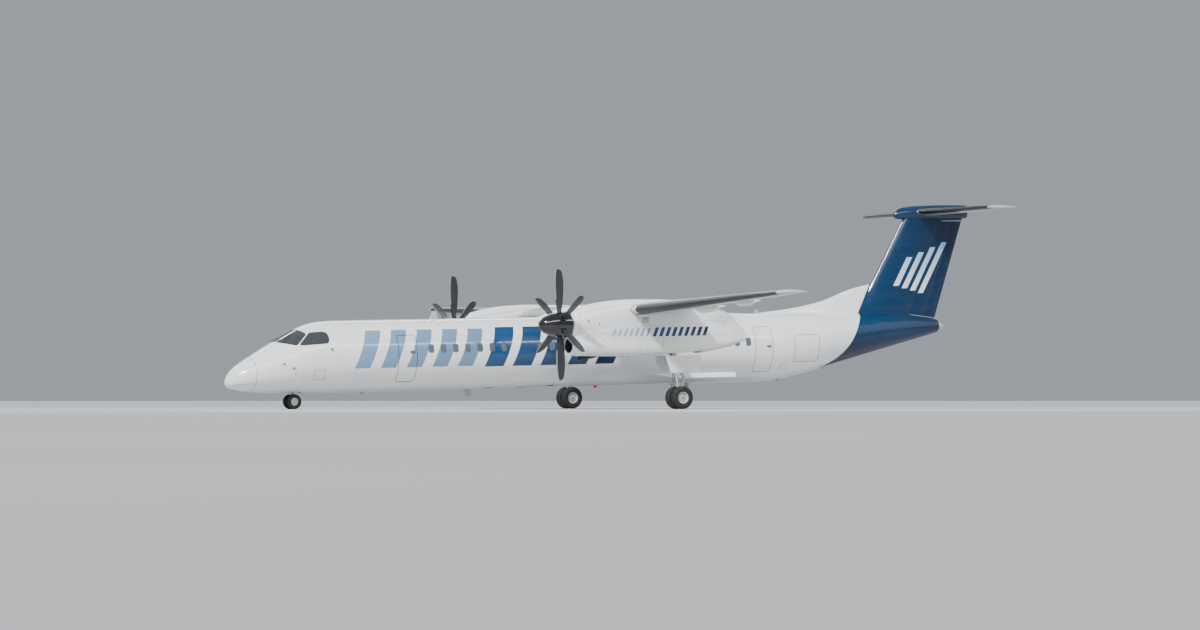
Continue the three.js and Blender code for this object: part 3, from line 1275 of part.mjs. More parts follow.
// The airframe stands nose down on its tyres, and the model's origin is on the ground under its middle
airframe.rotation.y = -STANCE_PITCH;
airframe.position.set(0, 0, CABIN_HEIGHT);
airframe.children.forEach((mesh) => {
  mesh.position.x -= MAIN_STATION;
});
airliner.updateMatrixWorld(true);
const extent = new THREE.Box3().setFromObject(airliner, true);
airframe.position.x = -(extent.min.x + extent.max.x) / 2;
airliner.userData = { pivots, faces, mainStation: MAIN_STATION };

export default airliner;
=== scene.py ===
import json
import math
from functools import reduce
from types import SimpleNamespace

import bmesh
import bpy
from bpy.props import FloatProperty, FloatVectorProperty, IntProperty, PointerProperty
from mathutils import Matrix, Vector


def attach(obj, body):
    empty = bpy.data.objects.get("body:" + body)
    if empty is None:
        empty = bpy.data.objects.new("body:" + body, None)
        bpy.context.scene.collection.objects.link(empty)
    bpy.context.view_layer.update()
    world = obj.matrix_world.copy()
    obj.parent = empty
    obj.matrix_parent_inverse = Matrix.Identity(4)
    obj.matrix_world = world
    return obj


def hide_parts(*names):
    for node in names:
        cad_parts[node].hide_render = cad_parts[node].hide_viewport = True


bl_info = {
    "name": "Turboprop Airliner",
    "version": (1, 0, 0),
    "blender": (4, 5, 0),
    "location": "3D View > Sidebar > Airliner",
    "description": "Smooth skins, glazing, doors, landing gear and paint of a twin turboprop airliner",
    "category": "Object",
}

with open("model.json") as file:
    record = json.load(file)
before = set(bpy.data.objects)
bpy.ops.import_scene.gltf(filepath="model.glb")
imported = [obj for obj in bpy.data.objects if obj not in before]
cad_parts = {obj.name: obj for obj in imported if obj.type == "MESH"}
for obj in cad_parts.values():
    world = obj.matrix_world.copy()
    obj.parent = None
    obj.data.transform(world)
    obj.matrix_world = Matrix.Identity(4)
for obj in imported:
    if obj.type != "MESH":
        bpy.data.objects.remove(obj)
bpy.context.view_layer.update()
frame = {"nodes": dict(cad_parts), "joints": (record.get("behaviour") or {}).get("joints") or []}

# The airframe's own axes: x is the station aft of the nose tip, y is to the right, z is the height over
# the middle of the round cabin, all in metres. It stands a little nose down on its wheels.
HINGES = {joint["name"]: joint for joint in frame["joints"]}
PITCH = math.asin(HINGES["propeller_left_spin"]["axis"][2])
AXLE = Vector(HINGES["main_wheels_left_roll"]["pos_m"])
AXLE_STATION = 16.6
CABIN_LEVEL = 2.27
AXLE_HEIGHT = (AXLE.z - CABIN_LEVEL) / math.cos(PITCH)
AIRFRAME = (
    Matrix.Translation((AXLE.x, 0, AXLE.z))
    @ Matrix.Rotation(-PITCH, 4, "Y")
    @ Matrix.Translation((-AXLE_STATION, 0, -AXLE_HEIGHT))
)
SIDES = {"left": -1, "right": 1}
CABIN_RADIUS = 1.345
NACELLE_OUT = 4.395
RUN = 0.008  # clearance of a moving piece
BAR_SLANT = 0.42


# ---- Sizes and colours that a user would change


def length(name, description, default):
    return FloatProperty(name=name, description=description, default=default, unit="LENGTH")


def count(name, description, default, low, high):
    return IntProperty(name=name, description=description, default=default, min=low, max=high)


def paint(name, description, default):
    return FloatVectorProperty(name=name, description=description, subtype="COLOR", size=3, default=default)


class AirlinerSizes(bpy.types.PropertyGroup):
    window_pitch: length("Window pitch", "Distance between cabin windows", 0.51)
    window_width: length("Window width", "Width of a cabin window's pane", 0.235)
    window_height: length("Window height", "Height of a cabin window's pane", 0.33)
    window_level: length("Window level", "Height of the windows over the cabin's middle", 0.22)
    seam_width: length("Seam width", "Width of the dark seal round doors and hatches", 0.016)
    hull_segments: count("Hull segments", "Faces round the cabin", 128, 48, 256)
    tread_grooves: count("Tread grooves", "Grooves round each tyre's tread", 4, 2, 6)


class AirlinerColours(bpy.types.PropertyGroup):
    white: paint("White", "Cabin and nacelle paint", (0.86, 0.87, 0.88))
    sky: paint("Sky blue", "Front of the cabin's stripes", (0.17, 0.3, 0.46))
    royal: paint("Royal blue", "Middle of the stripes", (0.0015, 0.06, 0.185))
    navy: paint("Navy", "Rear of the stripes and top of the fin", (0.0014, 0.0135, 0.044))
    fin_blue: paint("Fin blue", "Brighter foot of the fin", (0.0008, 0.035, 0.1))
    wing_grey: paint("Wing grey", "Wing and tailplane paint", (0.43, 0.445, 0.45))


def sizes():
    return bpy.context.scene.airliner_sizes


def colours():
    return bpy.context.scene.airliner_colours


# ---- Node helpers


class Value:
    """One output of a node. Arithmetic with it adds math nodes, so a pattern reads as a formula."""

    def __init__(self, socket):
        self.socket, self.tree = socket, socket.id_data

    def __add__(self, other):
        return maths("ADD", self, other)

    def __sub__(self, other):
        return maths("SUBTRACT", self, other)

    def __rsub__(self, other):
        return maths("SUBTRACT", other, self)

    def __mul__(self, other):
        return maths("MULTIPLY", self, other)

    def __truediv__(self, other):
        return maths("DIVIDE", self, other)

    def __pow__(self, other):
        return maths("POWER", self, other)

    def __abs__(self):
        return maths("ABSOLUTE", self)

    __radd__, __rmul__ = __add__, __mul__


def feed(socket, value):
    """Links a value to a socket, or writes a number, a vector or a colour of three parts into it."""
    if isinstance(value, Value):
        value.tree.links.new(value.socket, socket)
    elif hasattr(socket.default_value, "__len__") and len(socket.default_value) == 4 and len(value) == 3:
        socket.default_value = (*value, 1.0)
    else:
        socket.default_value = value


def add_node(tree, kind, inputs, output=0, **settings):
    """A node with its settings and its inputs, by name or number; gives one of its outputs."""
    node = tree.nodes.new(f"ShaderNode{kind}")
    for name, value in settings.items():
        setattr(node, name, value)
    for name, value in inputs.items():
        feed(node.inputs[name], value)
    return Value(node.outputs[output])


def tree_of(*items):
    return next(item.tree for item in items if isinstance(item, Value))


def maths(operation, *inputs, clamp=False):
    return add_node(tree_of(*inputs), "Math", dict(enumerate(inputs)), operation=operation, use_clamp=clamp)


def remap(value, low, high, to_low=0.0, to_high=1.0):
    ends = {"Value": value, "From Min": low, "From Max": high, "To Min": to_low, "To Max": to_high}
    return add_node(value.tree, "MapRange", ends, "Result")


def rise(value, edge, soft):
    """0 below the edge and 1 above it, with a soft step."""
    ends = {"Value": value, "From Min": edge - soft, "From Max": edge + soft}
    return add_node(value.tree, "MapRange", ends, "Result", interpolation_type="SMOOTHSTEP")


def between(value, low, high, soft):
    return rise(value, low, soft) * (1.0 - rise(value, high, soft))


def blend(share, first, second, mode="MIX"):
    sockets = {0: share, 6: first, 7: second}
    return add_node(tree_of(share, first, second), "Mix", sockets, 2, data_type="RGBA", blend_type=mode)


def shaded(colour, shade):
    return blend(1.0, colour, shade, "MULTIPLY")


def noise(place, scale, detail=3.0, stretch=None):
    if stretch:
        place = add_node(place.tree, "Mapping", {"Vector": place, "Scale": stretch})
    return add_node(place.tree, "TexNoise", {"Vector": place, "Scale": scale, "Detail": detail}, "Fac")


def ramp(value, stops):
    tint = add_node(value.tree, "ValToRGB", {0: value})
    elements = tint.socket.node.color_ramp.elements
    while len(elements) < len(stops):
        elements.new(1.0)
    for element, (at, colour) in zip(elements, stops):
        element.position = at
        element.color = (*colour, 1.0)
    return tint


def object_place(shader):
    return add_node(shader.id_data, "TexCoord", {}, "Object")


def airframe_axes(shader):
    """The point on the surface in the airframe's own axes, whole and as station, side and height."""
    ways = {"Vector": object_place(shader), "Rotation": (0, PITCH, 0), "Location": AIRFRAME.inverted().translation}
    place = add_node(shader.id_data, "Mapping", ways)
    station = add_node(shader.id_data, "SeparateXYZ", {0: place})
    return place, *(Value(output) for output in station.socket.node.outputs)


def new_group(name, outputs, **inputs):
    """A node group; gives its inputs as values and the sockets that its outputs are fed to."""
    group = bpy.data.node_groups.new(name, "ShaderNodeTree")
    for title, default in inputs.items():
        kind = "Vector" if default is None else "Float" if isinstance(default, float) else "Color"
        socket = group.interface.new_socket(title.replace("_", " "), in_out="INPUT", socket_type=f"NodeSocket{kind}")
        if default is not None:
            socket.default_value = default
    for title in outputs:
        kind = "Color" if title == "Colour" else "Float"
        group.interface.new_socket(title, in_out="OUTPUT", socket_type=f"NodeSocket{kind}")
    enter = group.nodes.new("NodeGroupInput")
    leave = group.nodes.new("NodeGroupOutput")
    return [Value(enter.outputs[title.replace("_", " ")]) for title in inputs], leave.inputs


def use_group(shader, name, **values):
    node = shader.id_data.nodes.new("ShaderNodeGroup")
    node.node_tree = bpy.data.node_groups[name]
    for title, value in values.items():
        feed(node.inputs[title.replace("_", " ")], value)
    return {output.name: Value(output) for output in node.outputs}


def weathered_paint_group():
    """Slow changes of tone, dust streaks along the airflow and a fine orange-peel height."""
    (place, colour, grime, gloss), leave = new_group(
        "weathered_paint", ("Colour", "Roughness", "Height"),
        Vector=None, Colour=(0.8, 0.8, 0.8, 1), Grime=0.3, Gloss=0.22)
    tone = noise(place, 0.55, 2.0)
    streaks = noise(place, 2.2, 4.0, stretch=(0.22, 2.6, 2.6))
    specks = rise(noise(place, 38.0, 2.0), 0.66, 0.05)
    soil = remap(streaks, 0.42, 0.8) * grime + specks * (grime * 0.25)
    toned = shaded(colour, remap(tone, 0.25, 0.75, 0.94, 1.03))
    feed(leave["Colour"], blend(soil * 0.5, toned, (0.33, 0.31, 0.28)))
    feed(leave["Roughness"], gloss + soil * 0.35 + remap(tone, 0.3, 0.7, -0.03, 0.04))
    feed(leave["Height"], noise(place, 90.0, 1.0) * 0.0004)


def skin_joints_group():
    """Joints of skin panels in two directions, each a fine dark line with a row of fasteners beside it."""
    row_off, dot_pitch = 0.022, 0.04
    (along, across, along_pitch, across_pitch, width), leave = new_group(
        "skin_joints", ("Line", "Height"),
        Along=0.0, Across=0.0, Along_Pitch=1.5, Across_Pitch=0.8, Width=0.004)
    lines, rivets = [], []
    for first, second, pitch in ((along, across, along_pitch), (across, along, across_pitch)):
        gap = abs(maths("FRACT", first / pitch) - 0.5) * pitch
        lines.append(1.0 - rise(gap, width, 0.0015))
        dot = abs(maths("FRACT", second / dot_pitch) - 0.5) * dot_pitch
        reach = maths("SQRT", abs(gap - row_off) ** 2.0 + dot ** 2.0)
        rivets.append(1.0 - rise(reach, 0.0045, 0.001))
    line, dots = maths("MAXIMUM", *lines), maths("MAXIMUM", *rivets)
    feed(leave["Line"], line)
    feed(leave["Height"], dots * 0.0006 - line * 0.0015)


def worn_grain_group():
    """Fine grain with scattered scuffs, for metals, rubber and enamel: brings colour, roughness and height."""
    (place, colour, worn, wear, gloss, scale, depth), leave = new_group(
        "worn_grain", ("Colour", "Roughness", "Height"), Vector=None, Colour=(0.5, 0.5, 0.5, 1),
        Worn=(0.6, 0.6, 0.6, 1), Wear=0.2, Gloss=0.4, Scale=30.0, Depth=0.0006)
    fine = noise(place, scale, 5.0)
    scuffs = rise(noise(place, 3.5, 4.0) * 0.6 + fine * 0.4, 0.6, 0.06)
    scuffed = blend(maths("MULTIPLY", scuffs, wear, clamp=True), colour, worn)
    feed(leave["Colour"], shaded(scuffed, remap(fine, 0.2, 0.8, 0.88, 1.1)))
    feed(leave["Roughness"], gloss + remap(fine, 0.3, 0.7, -0.06, 0.08))
    feed(leave["Height"], fine * depth)


# ---- Finishes


def new_finish(name, **settings):
    """A new material and its Principled shader, with the settings that are the same all over the surface."""
    material = bpy.data.materials.new(name)
    material.use_nodes = True
    shader = material.node_tree.nodes["Principled BSDF"]
    for title, value in settings.items():
        feed(shader.inputs[title.replace("_", " ")], value)
    return material, shader


def dress(shader, look, height, strength):
    """Feeds a group's colour and roughness and a bump height to a shader."""
    feed(shader.inputs["Base Color"], look["Colour"])
    feed(shader.inputs["Roughness"], look["Roughness"])
    bump = add_node(shader.id_data, "Bump", {"Strength": strength, "Distance": 1.0, "Height": height})
    feed(shader.inputs["Normal"], bump)


def dress_skin(shader, place, colour, joints, grime, gloss):
    """Paint over joined panels: weather, darker joints and both heights."""
    lined = blend(joints["Line"] * 0.5, colour, shaded(colour, (0.16, 0.17, 0.18)))
    aged = use_group(shader, "weathered_paint", Vector=place, Colour=lined, Grime=grime, Gloss=gloss)
    dress(shader, aged, aged["Height"] + joints["Height"], 0.6)


def slanted_bars(station, height, bars, slant, soft=0.006):
    """Parallelograms given as middle station, width, foot and top; together one mask."""
    masks = []
    for middle, width, foot, top in bars:
        off = abs(station - ((height - (foot + top) / 2) * slant + middle))
        masks.append((1.0 - rise(off, width / 2, soft)) * between(height, foot, top, soft))
    return reduce(lambda first, second: maths("MAXIMUM", first, second), masks)


def lean_back(station, height, middle):
    """The station along slanted lines, so that each bar keeps one tint."""
    return station - (height - middle) * BAR_SLANT


def tail_blue_and_shade(station, height):
    """Blue of the tail: brighter towards the fin's lower leading edge, navy to its top and trailing edge, a darkening
    that is partly painted shade. Below the cabin's middle it turns navy as painted shade under the aft body.
    """
    aft = remap(station - (height * 0.61 + 26.65), 0.3, 3.9)
    deep = maths("ADD", aft * 0.75, remap(height, 1.2, 5.2) * 0.45, clamp=True)
    # Navy towards the bottom of the aft body: painted shade under it.
    deep = maths("MAXIMUM", deep, 1.0 - remap(height, -0.2, 0.75))
    return blend(deep, colours().fin_blue, colours().navy)


def cabin_finish():
    paints = colours()
    material, shader = new_finish("cabin_paint", Coat_Roughness=0.06, Specular_IOR_Level=0.35)
    place, station, side, height = airframe_axes(shader)
    light = [(5.25 + 1.06 * i, 0.62, -0.46, 0.94) for i in range(5)]
    strong = [(10.72 + 1.18 * i, 0.8, -0.5, 0.98) for i in range(5)]
    bars = slanted_bars(station, height, light + strong, BAR_SLANT)
    dull_sky = [v * 0.82 for v in paints.sky]
    tint = ramp(remap(lean_back(station, height, 0.24), 4.8, 16.2),
                [(0.0, paints.sky), (0.456, dull_sky), (0.466, paints.royal), (1.0, paints.navy)])
    colour = blend(bars, paints.white, tint)
    edge = height * (height * (height * 0.252 - 0.34) + 0.782) + 26.446
    tail = rise(station - edge, 0.0, 0.006)
    # Aft of the tail's edge the colour is the tail's blue, with painted shade under the aft body.
    colour = blend(tail, colour, tail_blue_and_shade(station, height))
    feed(shader.inputs["Coat Weight"], remap(tail, 0.0, 1.0, 0.6, 0.12))
    joints = use_group(
        shader, "skin_joints", Along=station + 0.37, Across=maths("ARCTAN2", side, height) * CABIN_RADIUS,
        Along_Pitch=2.04, Across_Pitch=1.056, Width=0.003)
    behind = rise(station, 1.0, 0.02)
    joints = {title: joints[title] * behind for title in ("Line", "Height")}
    belly = remap(height, -0.7, -1.3, 0.12, 0.42) * remap(tail, 0.0, 1.0, 1.0, 0.3)
    dress_skin(shader, place, colour, joints, belly, 0.2)
    return material


def nacelle_finish():
    paints = colours()
    material, shader = new_finish("nacelle_paint", Coat_Weight=0.5, Coat_Roughness=0.08)
    place, station, _, height = airframe_axes(shader)
    light = [(13.62 + 0.24 * i, 0.11, 0.5, 0.8) for i in range(7)]
    strong = [(15.38 + 0.27 * i, 0.15, 0.48, 0.82) for i in range(9)]
    bars = slanted_bars(station, height, light + strong, BAR_SLANT, 0.004)
    tint = ramp(remap(lean_back(station, height, 0.65), 13.5, 17.8),
                [(0.0, (0.45, 0.52, 0.6)), (0.39, (0.25, 0.34, 0.45)), (0.4, paints.royal), (1.0, paints.navy)])
    colour = blend(bars, paints.white, tint)
    soot = between(station, 18.0, 19.6, 0.35) * rise(height, 1.0, 0.35) * noise(place, 3.0, 4.0, (0.3, 1.6, 1.6))
    colour = blend(maths("MULTIPLY", soot, 0.8, clamp=True), colour, (0.1, 0.09, 0.08))
    joints = use_group(shader, "skin_joints", Along=station + 0.3, Across=height - 0.18,
                       Along_Pitch=1.53, Across_Pitch=1.3, Width=0.003)
    dress_skin(shader, place, colour, joints, remap(height, 0.3, -0.25, 0.2, 0.6), 0.22)
    return material


def tail_finish():
    material, shader = new_finish("tail_paint", Coat_Weight=0.35, Coat_Roughness=0.06, Specular_IOR_Level=0.3)
    place, station, _, height = airframe_axes(shader)
    bars = [(29.55 + 0.5 * i, 0.27, 2.35 - 0.1 * i, 3.5 + 0.2 * i) for i in range(4)]
    pale = blend(remap(height, 2.4, 3.9), (0.72, 0.8, 0.88), (0.3, 0.5, 0.74))
    colour = blend(slanted_bars(station, height, bars, 0.61), tail_blue_and_shade(station, height), pale)
    ahead = (1.0 - rise(station - (height * 0.6094 + 26.58), 0.0, 0.006)) * (1.0 - rise(height, 4.6, 0.02))
    colour = blend(ahead, colour, colours().white)
    joints = use_group(shader, "skin_joints", Along=station - height * 0.5, Across=height,
                       Along_Pitch=1.3, Across_Pitch=0.86, Width=0.0025)
    dress_skin(shader, place, colour, joints, 0.05, 0.2)
    return material


def wing_finish():
    material, shader = new_finish("wing_paint", Coat_Weight=0.25, Coat_Roughness=0.15)
    place, station, side, _ = airframe_axes(shader)
    joints = use_group(shader, "skin_joints", Along=station + 0.11, Across=side,
                       Along_Pitch=0.62, Across_Pitch=1.31, Width=0.003)
    colour = shaded(colours().wing_grey, remap(noise(place, 1.1), 0.3, 0.7, 0.93, 1.05))
    dress_skin(shader, place, colour, joints, 0.35, 0.3)
    return material


def boot_finish():
    """De-icing rubber: black, with the low ridges of its air tubes running along the edge."""
    material, shader = new_finish("boot_rubber")
    place, _, _, height = airframe_axes(shader)
    grain = use_group(shader, "worn_grain", Vector=place, Colour=(0.009, 0.009, 0.01), Worn=(0.05, 0.05, 0.052),
                      Wear=0.35, Gloss=0.4, Scale=14.0, Depth=0.0004)
    ridge = abs(maths("SINE", height * 95.0))
    dress(shader, grain, grain["Height"] + ridge * 0.0012, 0.6)
    return material


def exhaust_finish():
    """Heat-tinted steel: straw to blue towards the outlet, sooty at the lip."""
    material, shader = new_finish("exhaust_steel", Metallic=0.95)
    place, station, _, _ = airframe_axes(shader)
    tint = ramp(remap(station, 17.3, 18.1) + noise(place, 6.0) * 0.18,
                [(0.1, (0.45, 0.4, 0.33)), (0.45, (0.4, 0.28, 0.16)), (0.7, (0.17, 0.16, 0.24)),
                 (1.0, (0.05, 0.045, 0.04))])
    grain = use_group(shader, "worn_grain", Vector=place, Colour=tint, Worn=(0.5, 0.48, 0.45),
                      Wear=0.15, Gloss=0.38, Scale=60.0)
    dress(shader, grain, grain["Height"], 0.4)
    return material


def plain_finish(name, colour, worn, wear, gloss, scale, depth, bump, settings):
    """A single-coloured finish with grain and scuffs at its own scale."""
    material, shader = new_finish(name, **settings)
    grain = use_group(shader, "worn_grain", Vector=object_place(shader), Colour=colour, Worn=worn,
                      Wear=wear, Gloss=gloss, Scale=scale, Depth=depth)
    dress(shader, grain, grain["Height"], bump)
    return material


# Each painted finish: its slot in the record and what makes it.
PAINTED = {
    "cabin": ("body_paint", cabin_finish), "nacelle": ("body_paint", nacelle_finish),
    "tail": ("tail_paint", tail_finish), "wing": ("wing_paint", wing_finish),
    "boot": ("deice_boot", boot_finish), "exhaust": ("engine_metal", exhaust_finish),
}
METAL = {"Metallic": 0.9}
LENS = {"Coat_Weight": 1.0}
# Each plain finish: slot, material, colour, worn colour, wear, gloss, grain scale and depth, bump and settings.
PLAIN = {
    "spinner": ("spinner_paint", "spinner_gloss", (0.006, 0.006, 0.008), (0.03, 0.03, 0.032),
                0.3, 0.16, 8.0, 0.0002, 0.3, {"Coat_Weight": 0.8, "Coat_Roughness": 0.05}),
    "blade": ("blade_paint", "blade_composite", (0.022, 0.024, 0.028), (0.09, 0.09, 0.095),
              0.25, 0.38, 22.0, 0.0003, 0.4, {}),
    "sheath": ("rim_metal", "blade_sheath", (0.5, 0.5, 0.49), (0.2, 0.2, 0.2), 0.4, 0.34, 60.0, 0.0003, 0.4, METAL),
    "tyre": ("tyre_rubber", "tyre_rubber", (0.014, 0.014, 0.015), (0.07, 0.066, 0.06),
             0.6, 0.78, 45.0, 0.0012, 0.7, {}),
    "rim": ("rim_metal", "rim_enamel", (0.6, 0.61, 0.61), (0.22, 0.2, 0.18),
            0.4, 0.36, 30.0, 0.0004, 0.4, {"Metallic": 0.35}),
    "gear": ("gear_paint", "gear_enamel", (0.66, 0.68, 0.69), (0.3, 0.28, 0.25),
             0.35, 0.3, 16.0, 0.0005, 0.4, {"Coat_Weight": 0.3, "Coat_Roughness": 0.12}),
    "chrome": ("rim_metal", "chromed_rod", (0.75, 0.76, 0.77), (0.6, 0.6, 0.6),
               0.2, 0.12, 40.0, 0.0002, 0.2, {"Metallic": 1.0}),
    "steel": ("engine_metal", "bare_steel", (0.42, 0.42, 0.42), (0.2, 0.19, 0.18),
              0.4, 0.36, 60.0, 0.0004, 0.4, METAL),
    "brake": ("engine_metal", "brake_carbon", (0.06, 0.058, 0.055), (0.16, 0.13, 0.1),
              0.5, 0.55, 70.0, 0.0008, 0.5, {"Metallic": 0.4}),
    "duct": ("engine_metal", "duct_shadow", (0.03, 0.031, 0.033), (0.08, 0.078, 0.075),
             0.4, 0.6, 9.0, 0.0008, 0.4, {}),
    "primer": ("gear_paint", "bay_primer", (0.42, 0.45, 0.43), (0.2, 0.19, 0.17), 0.5, 0.55, 7.0, 0.001, 0.4, {}),
    "seal": ("deice_boot", "seal_rubber", (0.018, 0.018, 0.02), (0.07, 0.07, 0.07), 0.4, 0.6, 35.0, 0.0006, 0.4, {}),
    "hose": ("deice_boot", "hose_rubber", (0.02, 0.02, 0.021), (0.1, 0.1, 0.1), 0.3, 0.5, 80.0, 0.0006, 0.5, {}),
    "tread": ("rim_metal", "stair_tread", (0.16, 0.165, 0.17), (0.35, 0.35, 0.34),
              0.5, 0.6, 120.0, 0.0015, 0.8, {}),
    "glass": ("cockpit_glass", "cockpit_glass", (0.035, 0.042, 0.05), (0.06, 0.065, 0.07),
              0.2, 0.06, 5.0, 0.0001, 0.15, {**LENS, "Coat_Roughness": 0.02, "Specular_IOR_Level": 0.7}),
    "pane": ("cockpit_glass", "cabin_pane", (0.1, 0.125, 0.15), (0.15, 0.175, 0.2),
             0.3, 0.09, 7.0, 0.0001, 0.15, {**LENS, "Coat_Roughness": 0.03}),
    "red": ("cockpit_glass", "red_lens", (0.5, 0.01, 0.01), (0.3, 0.02, 0.02), 0.3, 0.1, 30.0, 0.0001, 0.2, LENS),
    "green": ("cockpit_glass", "green_lens", (0.005, 0.3, 0.08), (0.01, 0.2, 0.08),
              0.3, 0.1, 30.0, 0.0001, 0.2, LENS),
    "clear": ("cockpit_glass", "clear_lens", (0.62, 0.64, 0.66), (0.45, 0.46, 0.47),
              0.3, 0.08, 30.0, 0.0001, 0.2, LENS),
}
FINISHES = {}


def make_finishes():
    weathered_paint_group()
    skin_joints_group()
    worn_grain_group()
    for name, (_, make) in PAINTED.items():
        FINISHES[name] = make()
    for name, (_, *look) in PLAIN.items():
        FINISHES[name] = plain_finish(*look)
    for name, node in frame["nodes"].items():
        kind = "steel" if name.startswith("engine") else "gear" if "leg" in name or "fork" in name else "cabin"
        node.data.materials.clear()
        node.data.materials.append(FINISHES[kind])


# ---- Mesh helpers

AFT, ACROSS, UP = Vector((1, 0, 0)), Vector((0, 1, 0)), Vector((0, 0, 1))


def spline(points):
    """A smooth line through (place, value) points that keeps between them."""
    xs, ys = zip(*points)
    steps = [(d - c) / (b - a) for a, b, c, d in zip(xs, xs[1:], ys, ys[1:])]
    slopes = [steps[0]]
    for before, after in zip(steps, steps[1:]):
        slopes.append(0.0 if before * after <= 0 else 2 * before * after / (before + after))
    slopes.append(steps[-1])

    def value(x):
        i = max(0, min(len(xs) - 2, sum(1 for v in xs if v <= x) - 1))
        gap = xs[i + 1] - xs[i]
        t = max(0.0, min(1.0, (x - xs[i]) / gap))
        a = (1 + 2 * t) * (1 - t) ** 2 * ys[i] + t * (1 - t) ** 2 * gap * slopes[i]
        return a + t * t * (3 - 2 * t) * ys[i + 1] + t * t * (t - 1) * gap * slopes[i + 1]

    return value


def table_lines(rows, place=float):
    """A smooth line for each further column of a table, over the places in its first column."""
    return [spline([(place(row[0]), row[k]) for row in rows]) for k in range(1, len(rows[0]))]


def spread(start, end, number):
    return [start + (end - start) * i / (number - 1) for i in range(number)]


def verts_of(made):
    return [item for item in made["geom"] if isinstance(item, bmesh.types.BMVert)]


def facing(way):
    """The turn that points the third axis along a way."""
    return way.to_track_quat("Z", "Y").to_matrix().to_4x4()


def carry_ring(bm, ring, stands):
    """Draws a ring of vertices out through places, given as matrices; gives the edges at both ends and the ring."""
    first = edges = list({edge for vert in ring for edge in vert.link_edges})
    for stand, following in zip(stands, stands[1:]):
        made = bmesh.ops.extrude_edge_only(bm, edges=edges)
        ring = verts_of(made)
        inside = set(ring)
        edges = [item for item in made["geom"]
                 if isinstance(item, bmesh.types.BMEdge) and inside.issuperset(item.verts)]
        bmesh.ops.transform(bm, matrix=following @ stand.inverted(), verts=ring)
    return first, edges, ring


def oval_loft(rows, segments=48):
    """A closed body through upright ovals: each row is station, side, height, half width and half height."""
    bm = bmesh.new()
    stands = []
    for station, side, height, wide, tall in rows:
        size = Matrix.Diagonal((1, max(wide, 1e-4), max(tall, 1e-4), 1))
        stands.append(Matrix.Translation((station, side, height)) @ size @ Matrix.Rotation(math.pi / 2, 4, "Y"))
    start = bmesh.ops.create_circle(bm, segments=segments, radius=1.0, matrix=stands[0])["verts"]
    first, last, end = carry_ring(bm, start, stands)
    for ring, edges, row in ((end, last, rows[-1]), (start, first, rows[0])):
        if max(row[3], row[4]) < 1e-3:
            bmesh.ops.pointmerge(bm, verts=ring, merge_co=Vector(row[:3]))
        else:
            bmesh.ops.contextual_create(bm, geom=edges)
    bmesh.ops.recalc_face_normals(bm, faces=bm.faces)
    return bm


def section_loft(sections):
    """A closed body through sections of equal counts of points."""
    bm = bmesh.new()
    ring = [bm.verts.new(p) for p in sections[0]]
    edges = [bm.edges.new(pair) for pair in zip(ring, ring[1:] + ring[:1])]
    bmesh.ops.contextual_create(bm, geom=edges)
    for section in sections[1:]:
        place = {vert: i for i, vert in enumerate(ring)}
        following = {}
        for vert in verts_of(bmesh.ops.extrude_edge_only(bm, edges=edges)):
            for other in (edge.other_vert(vert) for edge in vert.link_edges):
                if other in place:
                    following[place[other]] = vert
        ring = [following[i] for i in range(len(ring))]
        for vert, point in zip(ring, section):
            vert.co = point
        edges = [bm.edges.get(pair) for pair in zip(ring, ring[1:] + ring[:1])]
    bmesh.ops.contextual_create(bm, geom=edges)
    bmesh.ops.recalc_face_normals(bm, faces=bm.faces)
    return bm


def prism(points, reach, bm=None):
    """A flat outline in space drawn out by a vector."""
    bm = bm or bmesh.new()
    face = bm.faces.new([bm.verts.new(p) for p in points])
    made = bmesh.ops.extrude_face_region(bm, geom=[face])
    bmesh.ops.translate(bm, vec=Vector(reach), verts=verts_of(made))
    bmesh.ops.recalc_face_normals(bm, faces=bm.faces)
    return bm


def side_prism(outline, near, far, bm=None):
    return prism([(x, near, z) for x, z in outline], (0, far - near, 0), bm)


def plan_prism(outline, low, high, bm=None):
    return prism([(x, y, low) for x, y in outline], (0, 0, high - low), bm)


def block(low, high, bm=None):
    (a, b, c), (d, e, f) = low, high
    return plan_prism([(a, b), (d, b), (d, e), (a, e)], c, f, bm)


def round_edges(bm, edges, offset):
    bmesh.ops.bevel(bm, geom=edges, offset=offset, segments=2, affect="EDGES", profile=0.5, material=-1)


def bar(start, end, radius, end_radius=None, segments=24, edge=0.0):
    """A round bar between two points, with its rims rounded off by edge."""
    bm = bmesh.new()
    start, end = Vector(start), Vector(end)
    made = bmesh.ops.create_cone(
        bm, cap_ends=True, segments=segments, radius1=radius, radius2=radius if end_radius is None else end_radius,
        depth=(end - start).length, matrix=Matrix.Translation((start + end) / 2) @ facing(end - start))
    if edge:
        rims = {e for v in made["verts"] for e in v.link_edges if any(len(f.verts) > 4 for f in e.link_faces)}
        round_edges(bm, list(rims), edge)
    return bm


def pin(centre, half, radius, segments=24, edge=0.0):
    """A round bar straight across the aircraft, to both sides of its centre."""
    return bar(Vector(centre) - ACROSS * half, Vector(centre) + ACROSS * half, radius, segments=segments, edge=edge)


def bent_bar(points, radius, segments=10):
    """A round tube along a smooth line through points, with closed ends."""
    bm = bmesh.new()
    places = [Vector(p) for p in points]
    lengths = [0.0]
    for a, b in zip(places, places[1:]):
        lengths.append(lengths[-1] + (b - a).length)
    lines = [spline([(at, p[k]) for at, p in zip(lengths, places)]) for k in range(3)]
    path = [Vector(line(t) for line in lines) for t in spread(0, lengths[-1], 6 * len(places))]
    around = zip(path[:1] + path, path, path[1:] + path[-1:])
    stands = [Matrix.Translation(spot) @ facing(after - before) for before, spot, after in around]
    ring = bmesh.ops.create_circle(bm, cap_ends=True, segments=segments, radius=radius, matrix=stands[0])["verts"]
    last = carry_ring(bm, ring, stands)[1]
    bmesh.ops.contextual_create(bm, geom=last)
    return bm


